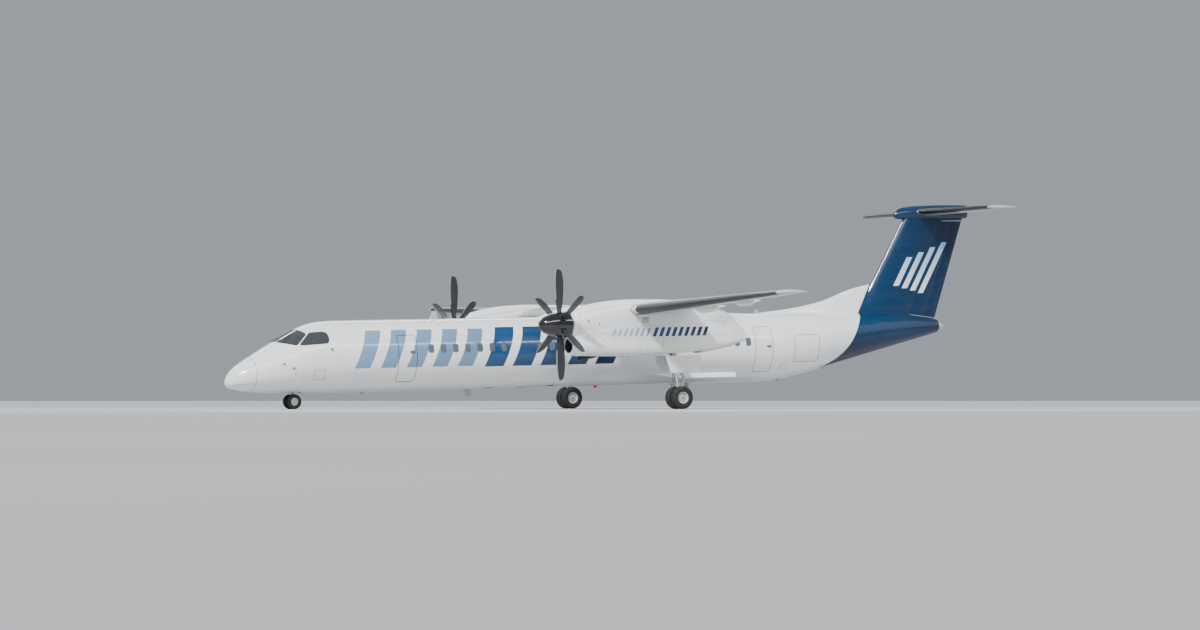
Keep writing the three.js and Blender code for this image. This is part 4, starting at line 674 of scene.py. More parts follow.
def turned(profile, centre, axis, steps):
    """A closed ring turned from (radius, along) points about an axis through the centre."""
    bm = bmesh.new()
    centre = Vector(centre)
    verts = [bm.verts.new(centre + UP * radius + axis * along) for radius, along in profile]
    edges = [bm.edges.new(pair) for pair in zip(verts, verts[1:] + verts[:1])]
    bmesh.ops.spin(bm, geom=verts + edges, cent=centre, axis=axis, angle=2 * math.pi, steps=steps, use_merge=True)
    bmesh.ops.remove_doubles(bm, verts=bm.verts, dist=1e-5)
    bmesh.ops.recalc_face_normals(bm, faces=bm.faces)
    return bm


def ball(centre, turn, size):
    """A sphere drawn out to three half sizes along turned axes."""
    bm = bmesh.new()
    matrix = Matrix.Translation(centre) @ turn @ Matrix.Diagonal((*size, 1))
    bmesh.ops.create_uvsphere(bm, u_segments=24, v_segments=12, radius=1.0, matrix=matrix)
    return bm


def rounded_rect(middle, level, width, height, radius, steps=5):
    outline = []
    for right, up, start in ((1, -1, -0.5), (1, 1, 0), (-1, 1, 0.5), (-1, -1, 1)):
        x = middle + right * (width / 2 - radius)
        z = level + up * (height / 2 - radius)
        for i in range(steps + 1):
            turn = math.pi * (start + i / (2 * steps))
            outline.append((x + radius * math.cos(turn), z + radius * math.sin(turn)))
    return outline


def corners_of(outline):
    """Each point of a closed outline with its neighbours."""
    return zip(outline[-1:] + outline[:-1], outline, outline[1:] + outline[:1])


def offset_outline(outline, distance):
    """An outline moved outwards by a distance."""
    area = sum(a[0] * b[1] - a[1] * b[0] for _, a, b in corners_of(outline))
    sign = math.copysign(1, area) * distance
    moved = []
    for before, here, after in corners_of(outline):
        first = (Vector(here) - Vector(before)).normalized()
        second = (Vector(after) - Vector(here)).normalized()
        normal = Vector((first.y + second.y, -(first.x + second.x))).normalized()
        share = max(0.35, normal.dot(Vector((first.y, -first.x))))
        moved.append((here[0] + normal.x * sign / share, here[1] + normal.y * sign / share))
    return moved


def rounded_outline(outline, radius, steps=4):
    """The same outline with its corners rounded."""
    rounded = []
    for before, here, after in corners_of(outline):
        here = Vector(here)
        back, on = Vector(before) - here, Vector(after) - here
        reach = min(radius, back.length * 0.45, on.length * 0.45)
        start, end = here + back.normalized() * reach, here + on.normalized() * reach
        for t in spread(0, 1, steps + 1):
            point = start * (1 - t) ** 2 + here * (2 * t * (1 - t)) + end * t * t
            rounded.append((point.x, point.y))
    return rounded


def loose_object(name, bm):
    mesh = bpy.data.meshes.new(name)
    bm.to_mesh(mesh)
    bm.free()
    thing = bpy.data.objects.new(name, mesh)
    bpy.context.scene.collection.objects.link(thing)
    return thing


def line_faces(index, *tools):
    """Gives the tools' faces a further finish, which the surfaces that they cut then show."""
    for tool in tools:
        for face in tool.faces:
            face.material_index = index


def combine(operation, base, *tools):
    """The base cut, joined or crossed with the tools."""
    body = loose_object("work", base)
    helpers = [loose_object("tool", tool) for tool in tools]
    for helper in helpers:
        step = body.modifiers.new("step", "BOOLEAN")
        step.operation = operation
        step.solver = "MANIFOLD"
        step.object = helper
    bpy.context.view_layer.update()
    ready = body.evaluated_get(bpy.context.evaluated_depsgraph_get())
    result = bmesh.new()
    result.from_mesh(ready.to_mesh())
    ready.to_mesh_clear()
    for thing in [body, *helpers]:
        mesh = thing.data
        bpy.data.objects.remove(thing)
        bpy.data.meshes.remove(mesh)
    if not result.faces:
        raise RuntimeError(f"{operation} left nothing")
    return result


def cut(base, *tools, lining=False):
    if lining:
        line_faces(1, *tools)
    return combine("DIFFERENCE", base, *tools)


def join(base, *tools):
    return combine("UNION", base, *tools)


def common(base, *tools):
    return combine("INTERSECT", base, *tools)


def join_all(parts):
    """The parts as one mesh, each kept whole."""
    whole = bmesh.new()
    for part in parts:
        mesh = bpy.data.meshes.new("part")
        part.to_mesh(mesh)
        part.free()
        whole.from_mesh(mesh)
        bpy.data.meshes.remove(mesh)
    return whole


def emit(name, bm, finish, *nodes, body="root", lining="", angle=30.0):
    """Puts a finished mesh in its place on its body, with its finish, for the nodes that it stands for.

    The lining names the finishes of the faces that tools have cut.
    """
    bmesh.ops.transform(bm, matrix=AIRFRAME, verts=bm.verts)
    for face in bm.faces:
        face.smooth = True
    for edge in bm.edges:
        edge.smooth = len(edge.link_faces) == 2 and edge.calc_face_angle(0.0) < math.radians(angle)
    thing = loose_object(name, bm)
    for layer in (finish, *lining.split()):
        thing.data.materials.append(FINISHES[layer])
    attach(thing, body)
    if nodes:
        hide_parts(*nodes)


# ---- Cabin, nose and tail cone

ROUND_START, ROUND_END, HULL_END = 4.7, 22.6, 31.2
BODY = [  # station, top, bottom and half width
    (0.0, -0.87, -0.87, 0.0), (0.06, -0.672, -1.01, 0.19), (0.19, -0.48, -1.082, 0.345), (0.4, -0.288, -1.138, 0.5),
    (0.81, -0.025, -1.212, 0.705), (1.41, 0.314, -1.256, 0.9), (2.22, 0.748, -1.29, 1.085), (2.94, 1.11, -1.312, 1.205),
    (3.4, 1.255, -1.325, 1.262), (3.9, 1.325, -1.338, 1.31), (ROUND_START, CABIN_RADIUS, -CABIN_RADIUS, CABIN_RADIUS),
    (ROUND_END, CABIN_RADIUS, -CABIN_RADIUS, CABIN_RADIUS), (23.7, 1.345, -1.25, 1.298), (25.0, 1.343, -1.013, 1.18),
    (27.1, 1.287, -0.537, 0.915), (29.16, 1.22, -0.052, 0.638), (30.6, 1.065, 0.285, 0.398),
    (HULL_END, 0.978, 0.432, 0.28),
]
BODY_LINES = table_lines(BODY, math.sqrt)
DOOR = SimpleNamespace(front=6.44, back=7.165, sill=-0.975, top=0.725, skin=0.07, swing=112)
DOOR.middle, DOOR.tall = (DOOR.front + DOOR.back) / 2, DOOR.top - DOOR.sill
DOOR_OUTLINE = rounded_rect(DOOR.middle, (DOOR.sill + DOOR.top) / 2, DOOR.back - DOOR.front, DOOR.tall, 0.09, 6)
NOSE_BAY = SimpleNamespace(start=1.43, door=1.45, split=2.3, end=2.96, half=0.315, door_half=0.3, roof=-0.56)
FAIRING = [  # station, height over the cabin and half angle from its top
    (12.95, 0.008, 16), (13.3, 0.11, 34), (13.75, 0.27, 50), (14.3, 0.4, 61), (14.9, 0.44, 66), (17.1, 0.44, 67),
    (17.9, 0.35, 65), (19.0, 0.225, 58), (20.3, 0.105, 44), (21.85, 0.008, 18),
]


def hull_row(station, grow=0.0):
    top, bottom, half = (line(math.sqrt(max(station, 0.0))) for line in BODY_LINES)
    return (station, 0.0, (top + bottom) / 2, half + grow, (top - bottom) / 2 + grow)


def hull(start, end, grow=0.0):
    """The cabin's round body between two stations, grown outwards or inwards."""
    fine = [v * v for v in spread(0.0, math.sqrt(ROUND_START), 34)]
    coarse = spread(ROUND_START, ROUND_END, 8) + spread(ROUND_END, HULL_END, 30)
    inner = [s for s in fine + coarse if start + 0.01 < s < end - 0.01]
    rows = [hull_row(s, grow) for s in [start, *inner, end]]
    if start <= 0:
        rows[0] = (-grow, 0.0, BODY[0][1], 0.0, 0.0)
    return oval_loft(rows, sizes().hull_segments)


def hull_shell(start, end, proud, depth):
    return cut(hull(start, end, proud), hull(start - 0.05, end + 0.05, -depth))


def on_skin(outline, shape, proud, depth):
    """What a shape drawn from a side outline leaves of the hull's skin."""
    stations = [x for x, _ in outline]
    return common(hull_shell(min(stations) - 0.1, max(stations) + 0.1, proud, depth), shape)


def patch(outline, near, far, proud, depth):
    """Part of the hull's skin inside a side outline, standing proud of it."""
    return on_skin(outline, side_prism(outline, near, far), proud, depth)


def rim_prism(outline, outer, inner, near, far, inner_near=None):
    """A side outline drawn across as a rim between two offsets from it."""
    return cut(side_prism(offset_outline(outline, outer), near, far),
               side_prism(offset_outline(outline, inner), inner_near or near * 0.5, far * 1.1))


def seam(outline, side, width):
    """A thin ring of seal on the skin along a side outline."""
    return on_skin(outline, rim_prism(outline, width / 2, -width / 2, side * 0.3, side * 1.5), 0.0025, 0.01)


def grip_on(name, middle, level, near, far, tall, recess_shade, grip, body="root"):
    """A handle over a near-black patch of its own height, painted shade of the recess it sits in; both are given by how
    far they stand out and go in.
    """
    emit(f"{name}_recess", patch(rounded_rect(middle, level, 0.2, tall, 0.03), near, far, *recess_shade), "seal", body=body)
    emit(name, patch(rounded_rect(middle, level, 0.15, 0.03, 0.012), near, far, *grip), "steel", body=body)


class AIRLINER_OT_cabin(bpy.types.Operator):
    """Builds the cabin's skin, radome, tail cone and wing fairing"""

    bl_idname = "airliner.cabin"
    bl_label = "Cabin"

    def execute(self, context):
        opening = side_prism(offset_outline(DOOR_OUTLINE, RUN), -1.5, -0.7)
        stairwell = block((DOOR.front - RUN, -1.4, -0.915), (DOOR.back + RUN, -0.85, -0.685))
        room = join(block((DOOR.front - 0.04, -1.4, -0.69), (DOOR.back + 0.04, -0.42, 0.88)), stairwell)
        room = common(room, hull(6.0, 7.6, -DOOR.skin - RUN))
        bay = common(block((NOSE_BAY.start, -NOSE_BAY.half, -1.5), (NOSE_BAY.end, NOSE_BAY.half, NOSE_BAY.roof)),
                     hull(1.2, 3.2, -0.053))
        mouth = block((NOSE_BAY.door, -NOSE_BAY.door_half, -1.5), (NOSE_BAY.end, NOSE_BAY.door_half, -1.1))
        skin = cut(hull(0.962, HULL_END), opening, room, bay, mouth, lining=True)
        emit("cabin_skin", skin, "cabin", "fuselage", lining="primer")
        emit("radome_shell", hull(0.0, 0.9575), "cabin", "radome")
        self.tail_cone()
        emit("wing_fairing_shell", wing_fairing(), "cabin", "wing_body_fairing")
        for name, side in SIDES.items():
            emit(f"strake_{name}", strake(side), "cabin", f"belly_strake_{name}")
        return {"FINISHED"}

    def tail_cone(self):
        rows = [(31.2003, 0.69, 0.205), (31.33, 0.686, 0.186), (31.45, 0.68, 0.142), (31.57, 0.674, 0.085),
                (31.64, 0.669, 0.036), (31.655, 0.668, 0.0)]
        cone = oval_loft([(station, 0.0, height, radius, radius) for station, height, radius in rows])
        port = bar((31.36, 0.05, 0.7), (31.36, 0.4, 0.74), 0.062, segments=32)
        emit("tail_cone_shell", cut(cone, port, lining=True), "wing", "tail_cone", lining="duct")
        foot, way = Vector((31.36, 0.166, 0.713)), Vector((0, 0.35, 0.04)).normalized()
        collar = cut(bar(foot, foot + way * 0.034, 0.074, segments=40, edge=0.004),
                     bar(foot - way * 0.1, foot + way * 0.2, 0.0625, segments=32))
        emit("exhaust_port_rim", collar, "exhaust")


def wing_fairing():
    rise_line, half_line = table_lines(FAIRING)
    inside, foot = 1.3, CABIN_RADIUS + 0.003
    shares = spread(-1, 1, 41)
    sections = []
    for station in spread(FAIRING[0][0], FAIRING[-1][0], 46):
        outer = [(share, foot + rise_line(station) * (1 - share**4)) for share in shares]
        inner = [(share, inside) for share in reversed(shares)]
        turns = [(math.radians(half_line(station) * share), radius) for share, radius in outer + inner]
        sections.append([(station, radius * math.sin(turn), radius * math.cos(turn)) for turn, radius in turns])
    return section_loft(sections)


def strake(side):
    """A rounded rail along the belly, 46 degrees below the side."""
    turn = math.radians(46)
    out = Vector((0, side * math.cos(turn), -math.sin(turn)))
    across = Vector((0, side * math.sin(turn), math.cos(turn)))
    sunk, half = 1.285, 0.034
    profile = [(0, -1.8), (0.5, -1.35), (0.88, -0.95), (1.0, -0.5), (1.0, 0.5), (0.88, 0.95), (0.5, 1.35), (0, 1.8)]
    return section_loft([
        [AFT * station + out * (sunk + (reach - sunk) * far) + across * off * wide * half for far, off in profile]
        for station, reach, wide in ((17.53, 1.352, 0.3), (17.8, 1.42, 0.7), (18.15, 1.51, 0.95), (18.5, 1.588, 1.0),
                                     (20.9, 1.588, 1.0), (21.08, 1.582, 0.96), (21.1, 1.56, 0.9))])


# ---- Windows, windscreen, doors and small fittings of the cabin

FRONT_PANE = rounded_outline([(1.93, 0.605), (2.49, 0.462), (2.93, 0.872), (2.63, 1.1), (1.93, 1.1)], 0.05)
SIDE_PANE = rounded_outline([(2.62, 0.462), (3.62, 0.516), (3.69, 0.64), (3.67, 0.85), (3.57, 0.905), (3.08, 0.882)],
                            0.06)
WINDOW_FIRST, WINDOW_LAST = 7.77, 21.54


class AIRLINER_OT_glazing(bpy.types.Operator):
    """Builds the cockpit panes with their frames and the row of cabin windows"""

    bl_idname = "airliner.glazing"
    bl_label = "Glazing"

    def execute(self, context):
        side_glass, side_frame, front_glass, front_frame = [], [], [], []
        for side in SIDES.values():
            far, wall = side * 1.4, side * 0.035
            side_glass.append(patch(SIDE_PANE, side * 0.05, far, 0.002, 0.02))
            front_glass.append(patch(FRONT_PANE, wall, far, 0.002, 0.02))
            ring = rim_prism(SIDE_PANE, 0.03, -0.004, side * 0.05, far)
            side_frame.append(common(hull_shell(2.4, 3.9, 0.005, 0.02), ring))
            ring = rim_prism(FRONT_PANE, 0.028, -0.004, side * 0.012, far, wall)
            front_frame.append(common(hull_shell(1.7, 3.2, 0.005, 0.02), ring))
        emit("cockpit_side_panes", join(*side_glass), "glass", "cockpit_glazing")
        emit("windscreen_panes", join(*front_glass), "glass")
        emit("cockpit_side_frames", join(*side_frame), "seal")
        emit("windscreen_frames", join(*front_frame), "seal")
        for name, side in SIDES.items():
            self.cabin_windows(name, side)
        return {"FINISHED"}

    def cabin_windows(self, name, side):
        size = sizes()
        near, far = side * 0.9, side * 1.5
        outer, inner, glass = bmesh.new(), bmesh.new(), bmesh.new()
        for i in range(round((WINDOW_LAST - WINDOW_FIRST) / size.window_pitch) + 1):
            middle = WINDOW_LAST - i * size.window_pitch
            for bm, more, radius, slack in ((outer, 0.05, 0.1, 0), (inner, 0, 0.08, 0.1), (glass, 0.01, 0.084, 0)):
                wide, tall = size.window_width + more, size.window_height + more
                rect = rounded_rect(middle, size.window_level, wide, tall, radius)
                side_prism(rect, near * (1 - slack), far * (1 + slack), bm)
        emit(f"window_frames_{name}", common(hull_shell(7.3, 22.0, 0.004, 0.01), cut(outer, inner)), "cabin")
        emit(f"window_panes_{name}", common(hull_shell(7.3, 22.0, 0.0015, 0.012), glass), "pane")


HATCHES = {  # side, middle station, level, length, height and corner radius
    "rear_door_left": (-1, 22.255, -0.08, 0.79, 1.76, 0.1),
    "rear_service_door": (1, 22.255, -0.2, 0.72, 1.42, 0.1),
    "front_service_door": (1, 5.55, -0.12, 0.74, 1.42, 0.1),
    "overwing_exit_left": (-1, 13.12, 0.16, 0.52, 0.92, 0.1),
    "overwing_exit_right": (1, 13.12, 0.16, 0.52, 0.92, 0.1),
    "front_hold_door": (1, 4.4, -0.42, 0.9, 0.9, 0.08),
    "rear_hold_door_left": (-1, 24.3, -0.08, 1.2, 1.05, 0.1),
    "refuel_panel": (1, 20.2, -0.62, 0.3, 0.22, 0.03),
    "battery_panel": (-1, 3.3, -0.66, 0.42, 0.34, 0.04),
    "water_panel": (-1, 23.25, -0.8, 0.28, 0.22, 0.03),
}
HANDLES = {  # side, station and level
    "rear_door_handle": (-1, 22.48, 0.02), "front_service_handle": (1, 5.3, 0.05),
    "rear_service_handle": (1, 22.05, -0.1),
}


class AIRLINER_OT_hatches(bpy.types.Operator):
    """Builds the seals and handles of the doors, hatches and service panels, and the ice shields"""

    bl_idname = "airliner.hatches"
    bl_label = "Doors and hatches"

    def execute(self, context):
        for name, (side, *rect) in HATCHES.items():
            width = sizes().seam_width * (1.0 if "door" in name else 0.6)
            emit(f"{name}_seal", seam(rounded_rect(*rect), side, width), "seal")
        for name, (side, middle, level) in HANDLES.items():
            grip_on(name, middle, level, side * 0.3, side * 1.5, 0.09, (0.003, 0.01), (0.014, 0.005))
        outline = rounded_rect(11.56, -0.02, 1.3, 1.5, 0.08)
        for name, side in SIDES.items():
            emit(f"ice_shield_{name}", patch(outline, side * 0.3, side * 1.5, 0.0035, 0.01), "cabin")
        return {"FINISHED"}


def skin_point(station, angle, grow=0.0):
    """A point on the hull at an angle from its top, positive to the right, with its outward normal."""
    _, _, level, wide, tall = hull_row(station, grow)
    turn = math.radians(angle)
    spot = Vector((station, wide * math.sin(turn), level + tall * math.cos(turn)))
    return spot, Vector((0, math.sin(turn) / max(wide, 0.01), math.cos(turn) / max(tall, 0.01))).normalized()


def aerial(station, angle, long, tall, thick=0.022, sweep=0.45):
    """A thin swept blade that stands on the hull."""
    foot, normal = skin_point(station, angle, -0.012)
    across = normal.cross(AFT)
    return section_loft([
        [foot + AFT * (x + sweep * tall * share) + across * t + normal * tall * share
         for x, t in foil_points(long * size, thick * size, 0.0, 7)]
        for share, size in ((0.0, 1.0), (0.55, 0.78), (0.92, 0.56), (1.0, 0.4))])


class AIRLINER_OT_cabin_fittings(bpy.types.Operator):
    """Builds aerials, probes, wipers, the belly beacon, drain masts, vents and lightning strips"""

    bl_idname = "airliner.cabin_fittings"
    bl_label = "Cabin fittings"

    def execute(self, context):
        aerials = ((8.35, 0, 0.34, 0.3), (12.1, 0, 0.22, 0.12), (9.7, 180, 0.34, 0.27), (19.3, 180, 0.26, 0.24),
                   (5.4, 180, 0.18, 0.11), (22.6, 0, 0.22, 0.15))
        emit("aerials", join_all([aerial(*row) for row in aerials]), "wing")
        masts = [aerial(18.9, 165, 0.16, 0.16, 0.02), aerial(23.4, 190, 0.14, 0.13, 0.02)]
        emit("drain_masts", join_all(masts), "steel")
        foot, normal = skin_point(15.4, 180, -0.01)
        emit("belly_beacon", ball(foot, facing(normal), (0.0825, 0.055, 0.1)), "red")
        # Belly vents as flat near-black patches: painted shade of their openings.
        vents = bmesh.new()
        for station, side, long, wide in ((10.6, -0.32, 0.3, 0.12), (12.0, -0.26, 0.34, 0.1),
                                          (13.25, -0.42, 0.28, 0.11), (11.4, 0.4, 0.2, 0.09)):
            plan_prism(rounded_rect(station, side, long, wide, wide * 0.49), -1.6, -1.0, vents)
        emit("belly_vents", common(hull_shell(10.2, 14.5, 0.003, 0.01), vents), "seal")
        self.probes()
        self.wipers()
        strips = []
        for angle in (-120, -60, 0, 60, 120, 180):
            line = [skin_point(s, angle, 0.0015)[0] for s in (0.22, 0.4, 0.6, 0.8, 0.93)]
            strips.append(bent_bar(line, 0.0045, 6))
        emit("lightning_strips", join_all(strips), "steel")
        emit("radome_joint", cut(hull(0.953, 0.9665, 0.0012), hull(0.94, 0.98, -0.006)), "seal")
        emit("jack_pad_nose", bar((4.2, 0, -1.3), (4.2, 0, -1.362), 0.08, segments=32, edge=0.004), "steel")
        return {"FINISHED"}

    def probes(self):
        probes, plates = [], []
        for side in SIDES.values():
            for station, angle, long in ((1.95, 84, 0.2), (2.3, 98, 0.13), (3.76, 78, 0.1)):
                foot, normal = skin_point(station, side * angle)
                knee = foot + normal * 0.075
                probes.append(bar(foot - normal * 0.02, knee, 0.014, 0.01, 16))
                probes.append(bar(knee + AFT * 0.03, knee - AFT * long, 0.0105, 0.006, 16))
                plates.append(bar(foot - normal * 0.01, foot + normal * 0.004, 0.042, segments=28, edge=0.002))
        emit("air_data_probes", join_all(probes), "steel")
        emit("probe_plates", join_all(plates), "seal")

    def wipers(self):
        arms, blades = [], []
        for side in SIDES.values():
            foot, normal = skin_point(1.97, side * 17)
            tip, lift = skin_point(2.4, side * 26)
            middle = (foot + tip) / 2 + normal * 0.045
            arms.append(bent_bar([foot, foot + normal * 0.03, middle, tip + lift * 0.022], 0.008))
            (low, a), (high, b) = skin_point(2.16, side * 30, 0.012), skin_point(2.5, side * 20, 0.012)
            blades.append(bent_bar([low, (low + high) / 2 + (a + b) * 0.006, high], 0.008, 8))
        emit("wiper_arms", join_all(arms), "seal")
        emit("wiper_blades", join_all(blades), "hose")


# ---- Wing

WING_BREAK, WING_TIP, DIHEDRAL = NACELLE_OUT, 14.21, math.radians(2.5)
WING_ROWS = [  # distance from the middle, leading edge, chord, thickness and height
    (0.0, 14.27, 2.75, 0.495, 1.47), (WING_BREAK, 14.27, 2.75, 0.495, 1.47),
    (WING_TIP, 15.2, 1.2, 0.156, 1.47 + (WING_TIP - WING_BREAK) * math.tan(DIHEDRAL)),
]
CAMBER = 0.016
FLAP_START, FLAP_SHROUD = 0.575, 0.76
FLAP_GAP = 0.016
AILERON_HINGE = 0.73


def foil_half(share):
    return 5 * (0.2969 * math.sqrt(share) - 0.126 * share - 0.3516 * share**2 + 0.2843 * share**3 - 0.1015 * share**4)


def foil_mean(share, camber):
    return 4 * camber * share * (1 - share)


def foil_points(chord, deep, camber=0.0, steps=24, grow=0.0):
    """Outline of a wing section from its trailing edge over the top to the nose and back underneath."""
    shares = [(1 - math.cos(math.pi * i / steps)) / 2 for i in range(steps + 1)]
    edge = 0.0006 / max(deep, 1e-6)
    top, low = ([(s * chord, chord * foil_mean(s, camber) + way * (deep * max(foil_half(s), edge) + grow))
                 for s in shares[1:]] for way in (1, -1))
    return top[::-1] + [(-grow, 0.0)] + low


def wing_at(out):
    """Leading edge, chord, thickness and height of the wing at a distance from the middle."""
    a, b = WING_ROWS[:2] if out <= WING_BREAK else WING_ROWS[1:]
    share = (out - a[0]) / (b[0] - a[0])
    return [a[k] + (b[k] - a[k]) * share for k in (1, 2, 3, 4)]


def wing_spot(side, out, share):
    lead, chord, _, height = wing_at(out)
    return Vector((lead + chord * share, side * out, height))


def underside(side, out, share):
    """A point on the wing's lower skin."""
    _, chord, deep, _ = wing_at(out)
    return wing_spot(side, out, share) + UP * (foil_mean(share, CAMBER) * chord - foil_half(share) * deep)


def wing_section(side, out, wide=1.0, thin=1.0, grow=0.0):
    lead, chord, deep, height = wing_at(out)
    return [(lead + chord * (1 - wide) + x * wide, side * out, height + z * thin)
            for x, z in foil_points(chord, deep, CAMBER, grow=grow)]


def wing_span(side, inner, outer, grow=0.0):
    return section_loft([wing_section(side, out, grow=grow) for out in (inner, outer)])


def wing_skin(side, inner, outer, proud, depth):
    return cut(wing_span(side, inner, outer, proud), wing_span(side, inner - 0.1, outer + 0.1, -depth))


def wing_panel(side, inner, grow=0.0):
    """One wing from an inner station to its rounded tip."""
    sections = [wing_section(side, out, grow=grow) for out in (inner, 7.0, 10.0, 12.0, 14.1)]
    for out, wide, thin in ((14.14, 0.99, 0.93), (14.17, 0.965, 0.78), (14.195, 0.93, 0.55), (14.2098, 0.88, 0.28)):
        sections.append(wing_section(side, out, wide, thin))
    return section_loft(sections)


def wing_wedge(side, inner, outer, corners):
    """A body across part of the wing; a corner is a share of the chord, a distance behind it and a height."""
    sections = []
    for out in (inner, outer):
        lead, chord, _, height = wing_at(out)
        sections.append([(lead + share * chord + back, side * out, height + z) for share, back, z in corners])
    return section_loft(sections)


def flap_zone(side, inner, outer, slack=0.0):
    """Slanted split between wing and flap: low in front under the wing, high further aft."""
    return wing_wedge(side, inner, outer, [(FLAP_START, slack, -0.4), (FLAP_SHROUD, slack, 0.4), (1, 0.3, 0.4),
                                           (1, 0.3, -0.4)])


def boot_zone(side, inner, outer, slack=0.0):
    """Front of the wing that carries the de-icing rubber, which reaches further back underneath."""
    return wing_wedge(side, inner, outer, [(0, -0.5, -0.4), (0.2, -slack, -0.4), (0.005, -slack, 0.4), (0, -0.5, 0.4)])


def flap_gap_shade(side, inner, outer, start, wide):
    """Near-black strip on the wing's underside, from a share of the chord backwards: painted shade of a flap's gap."""
    corners = [(start, 0, -0.4), (start, wide, -0.4), (start, wide, -0.005), (start, 0, -0.005)]
    return common(wing_skin(side, inner, outer, 0.0012, 0.004), wing_wedge(side, inner - 0.05, outer + 0.05, corners))


def surface_section(chord, deep, camber, share):
    """Hinge place, middle height, nose radius, trailing edge and its drop and half height."""
    mid, trail = foil_mean(share, camber) * chord, 0.999
    edge = foil_mean(trail, camber) * chord - mid
    half = max(foil_half(trail) * deep, 0.0012)
    return share * chord, mid, foil_half(share) * deep * 0.985, chord * trail, edge, half


def surface_outline(section, steps=12):
    """A moving surface with its round nose about the hinge."""
    hinge, mid, nose, trail, drop, half = section
    arc = spread(math.pi / 2, 3 * math.pi / 2, steps + 1)
    return [*[(hinge + nose * math.cos(t), mid + nose * math.sin(t)) for t in arc],
            (trail, mid + drop - half), (trail, mid + drop + half)]


def cove_outline(section, steps=12):
    """The hollow that a moving surface turns in, and all behind it."""
    hinge, mid, nose, trail = section[:4]
    reach = nose * 1.06 + RUN
    start = math.acos(-0.35 * nose / reach)
    lip, tall, back = hinge - 0.35 * nose, 4 * nose + 0.2, trail + 0.4
    turns = spread(start, 2 * math.pi - start, steps + 1)
    arc = [(hinge + reach * math.cos(t), mid + reach * math.sin(t)) for t in turns]
    return [(lip, mid + tall), *arc, (lip, mid - tall), (back, mid - tall), (back, mid + tall)]


def wing_band(side, inner, outer, outline):
    """The outline of the aileron, or of its hollow, drawn from an inner to an outer station."""
    sections = []
    for out in (inner, outer):
        lead, chord, deep, height = wing_at(out)
        spots = outline(surface_section(chord, deep, CAMBER, AILERON_HINGE))
        sections.append([(lead + x, side * out, height + z) for x, z in spots])
    return section_loft(sections)


def flap_fairing(side, out, forward, behind, half, deep):
    """Canoe under the wing whose pointed tip stands out behind the trailing edge."""
    lead, chord, _, height = wing_at(out)
    low_line = spline([(0, -0.03 * chord), (0.3, -0.085 * chord - deep * 0.55), (0.65, -0.04 * chord - deep),
                       (0.82, -deep * 0.75), (1, -deep * 0.28)])
    high_line = spline([(0, -0.01), (0.3, 0.02), (0.65, 0.015), (0.82, 0.0), (1, -deep * 0.14)])
    wide_line = spline([(0, 0.1), (0.12, 0.5), (0.3, 0.88), (0.6, 1.0), (0.85, 0.62), (1, 0.08)])
    rows = []
    for share in spread(0, 1, 22):
        low, high = low_line(share), high_line(share)
        rows.append((lead + chord - forward + (forward + behind) * share, side * out, height + (low + high) / 2,
                     half * wide_line(share), (high - low) / 2))
    return oval_loft(rows, 28)


def wicks(feet, reach):
    """Thin rods that trail from points on a trailing edge."""
    return join_all([bar(foot, foot + Vector(reach), 0.004, 0.0025, 8) for foot in feet])


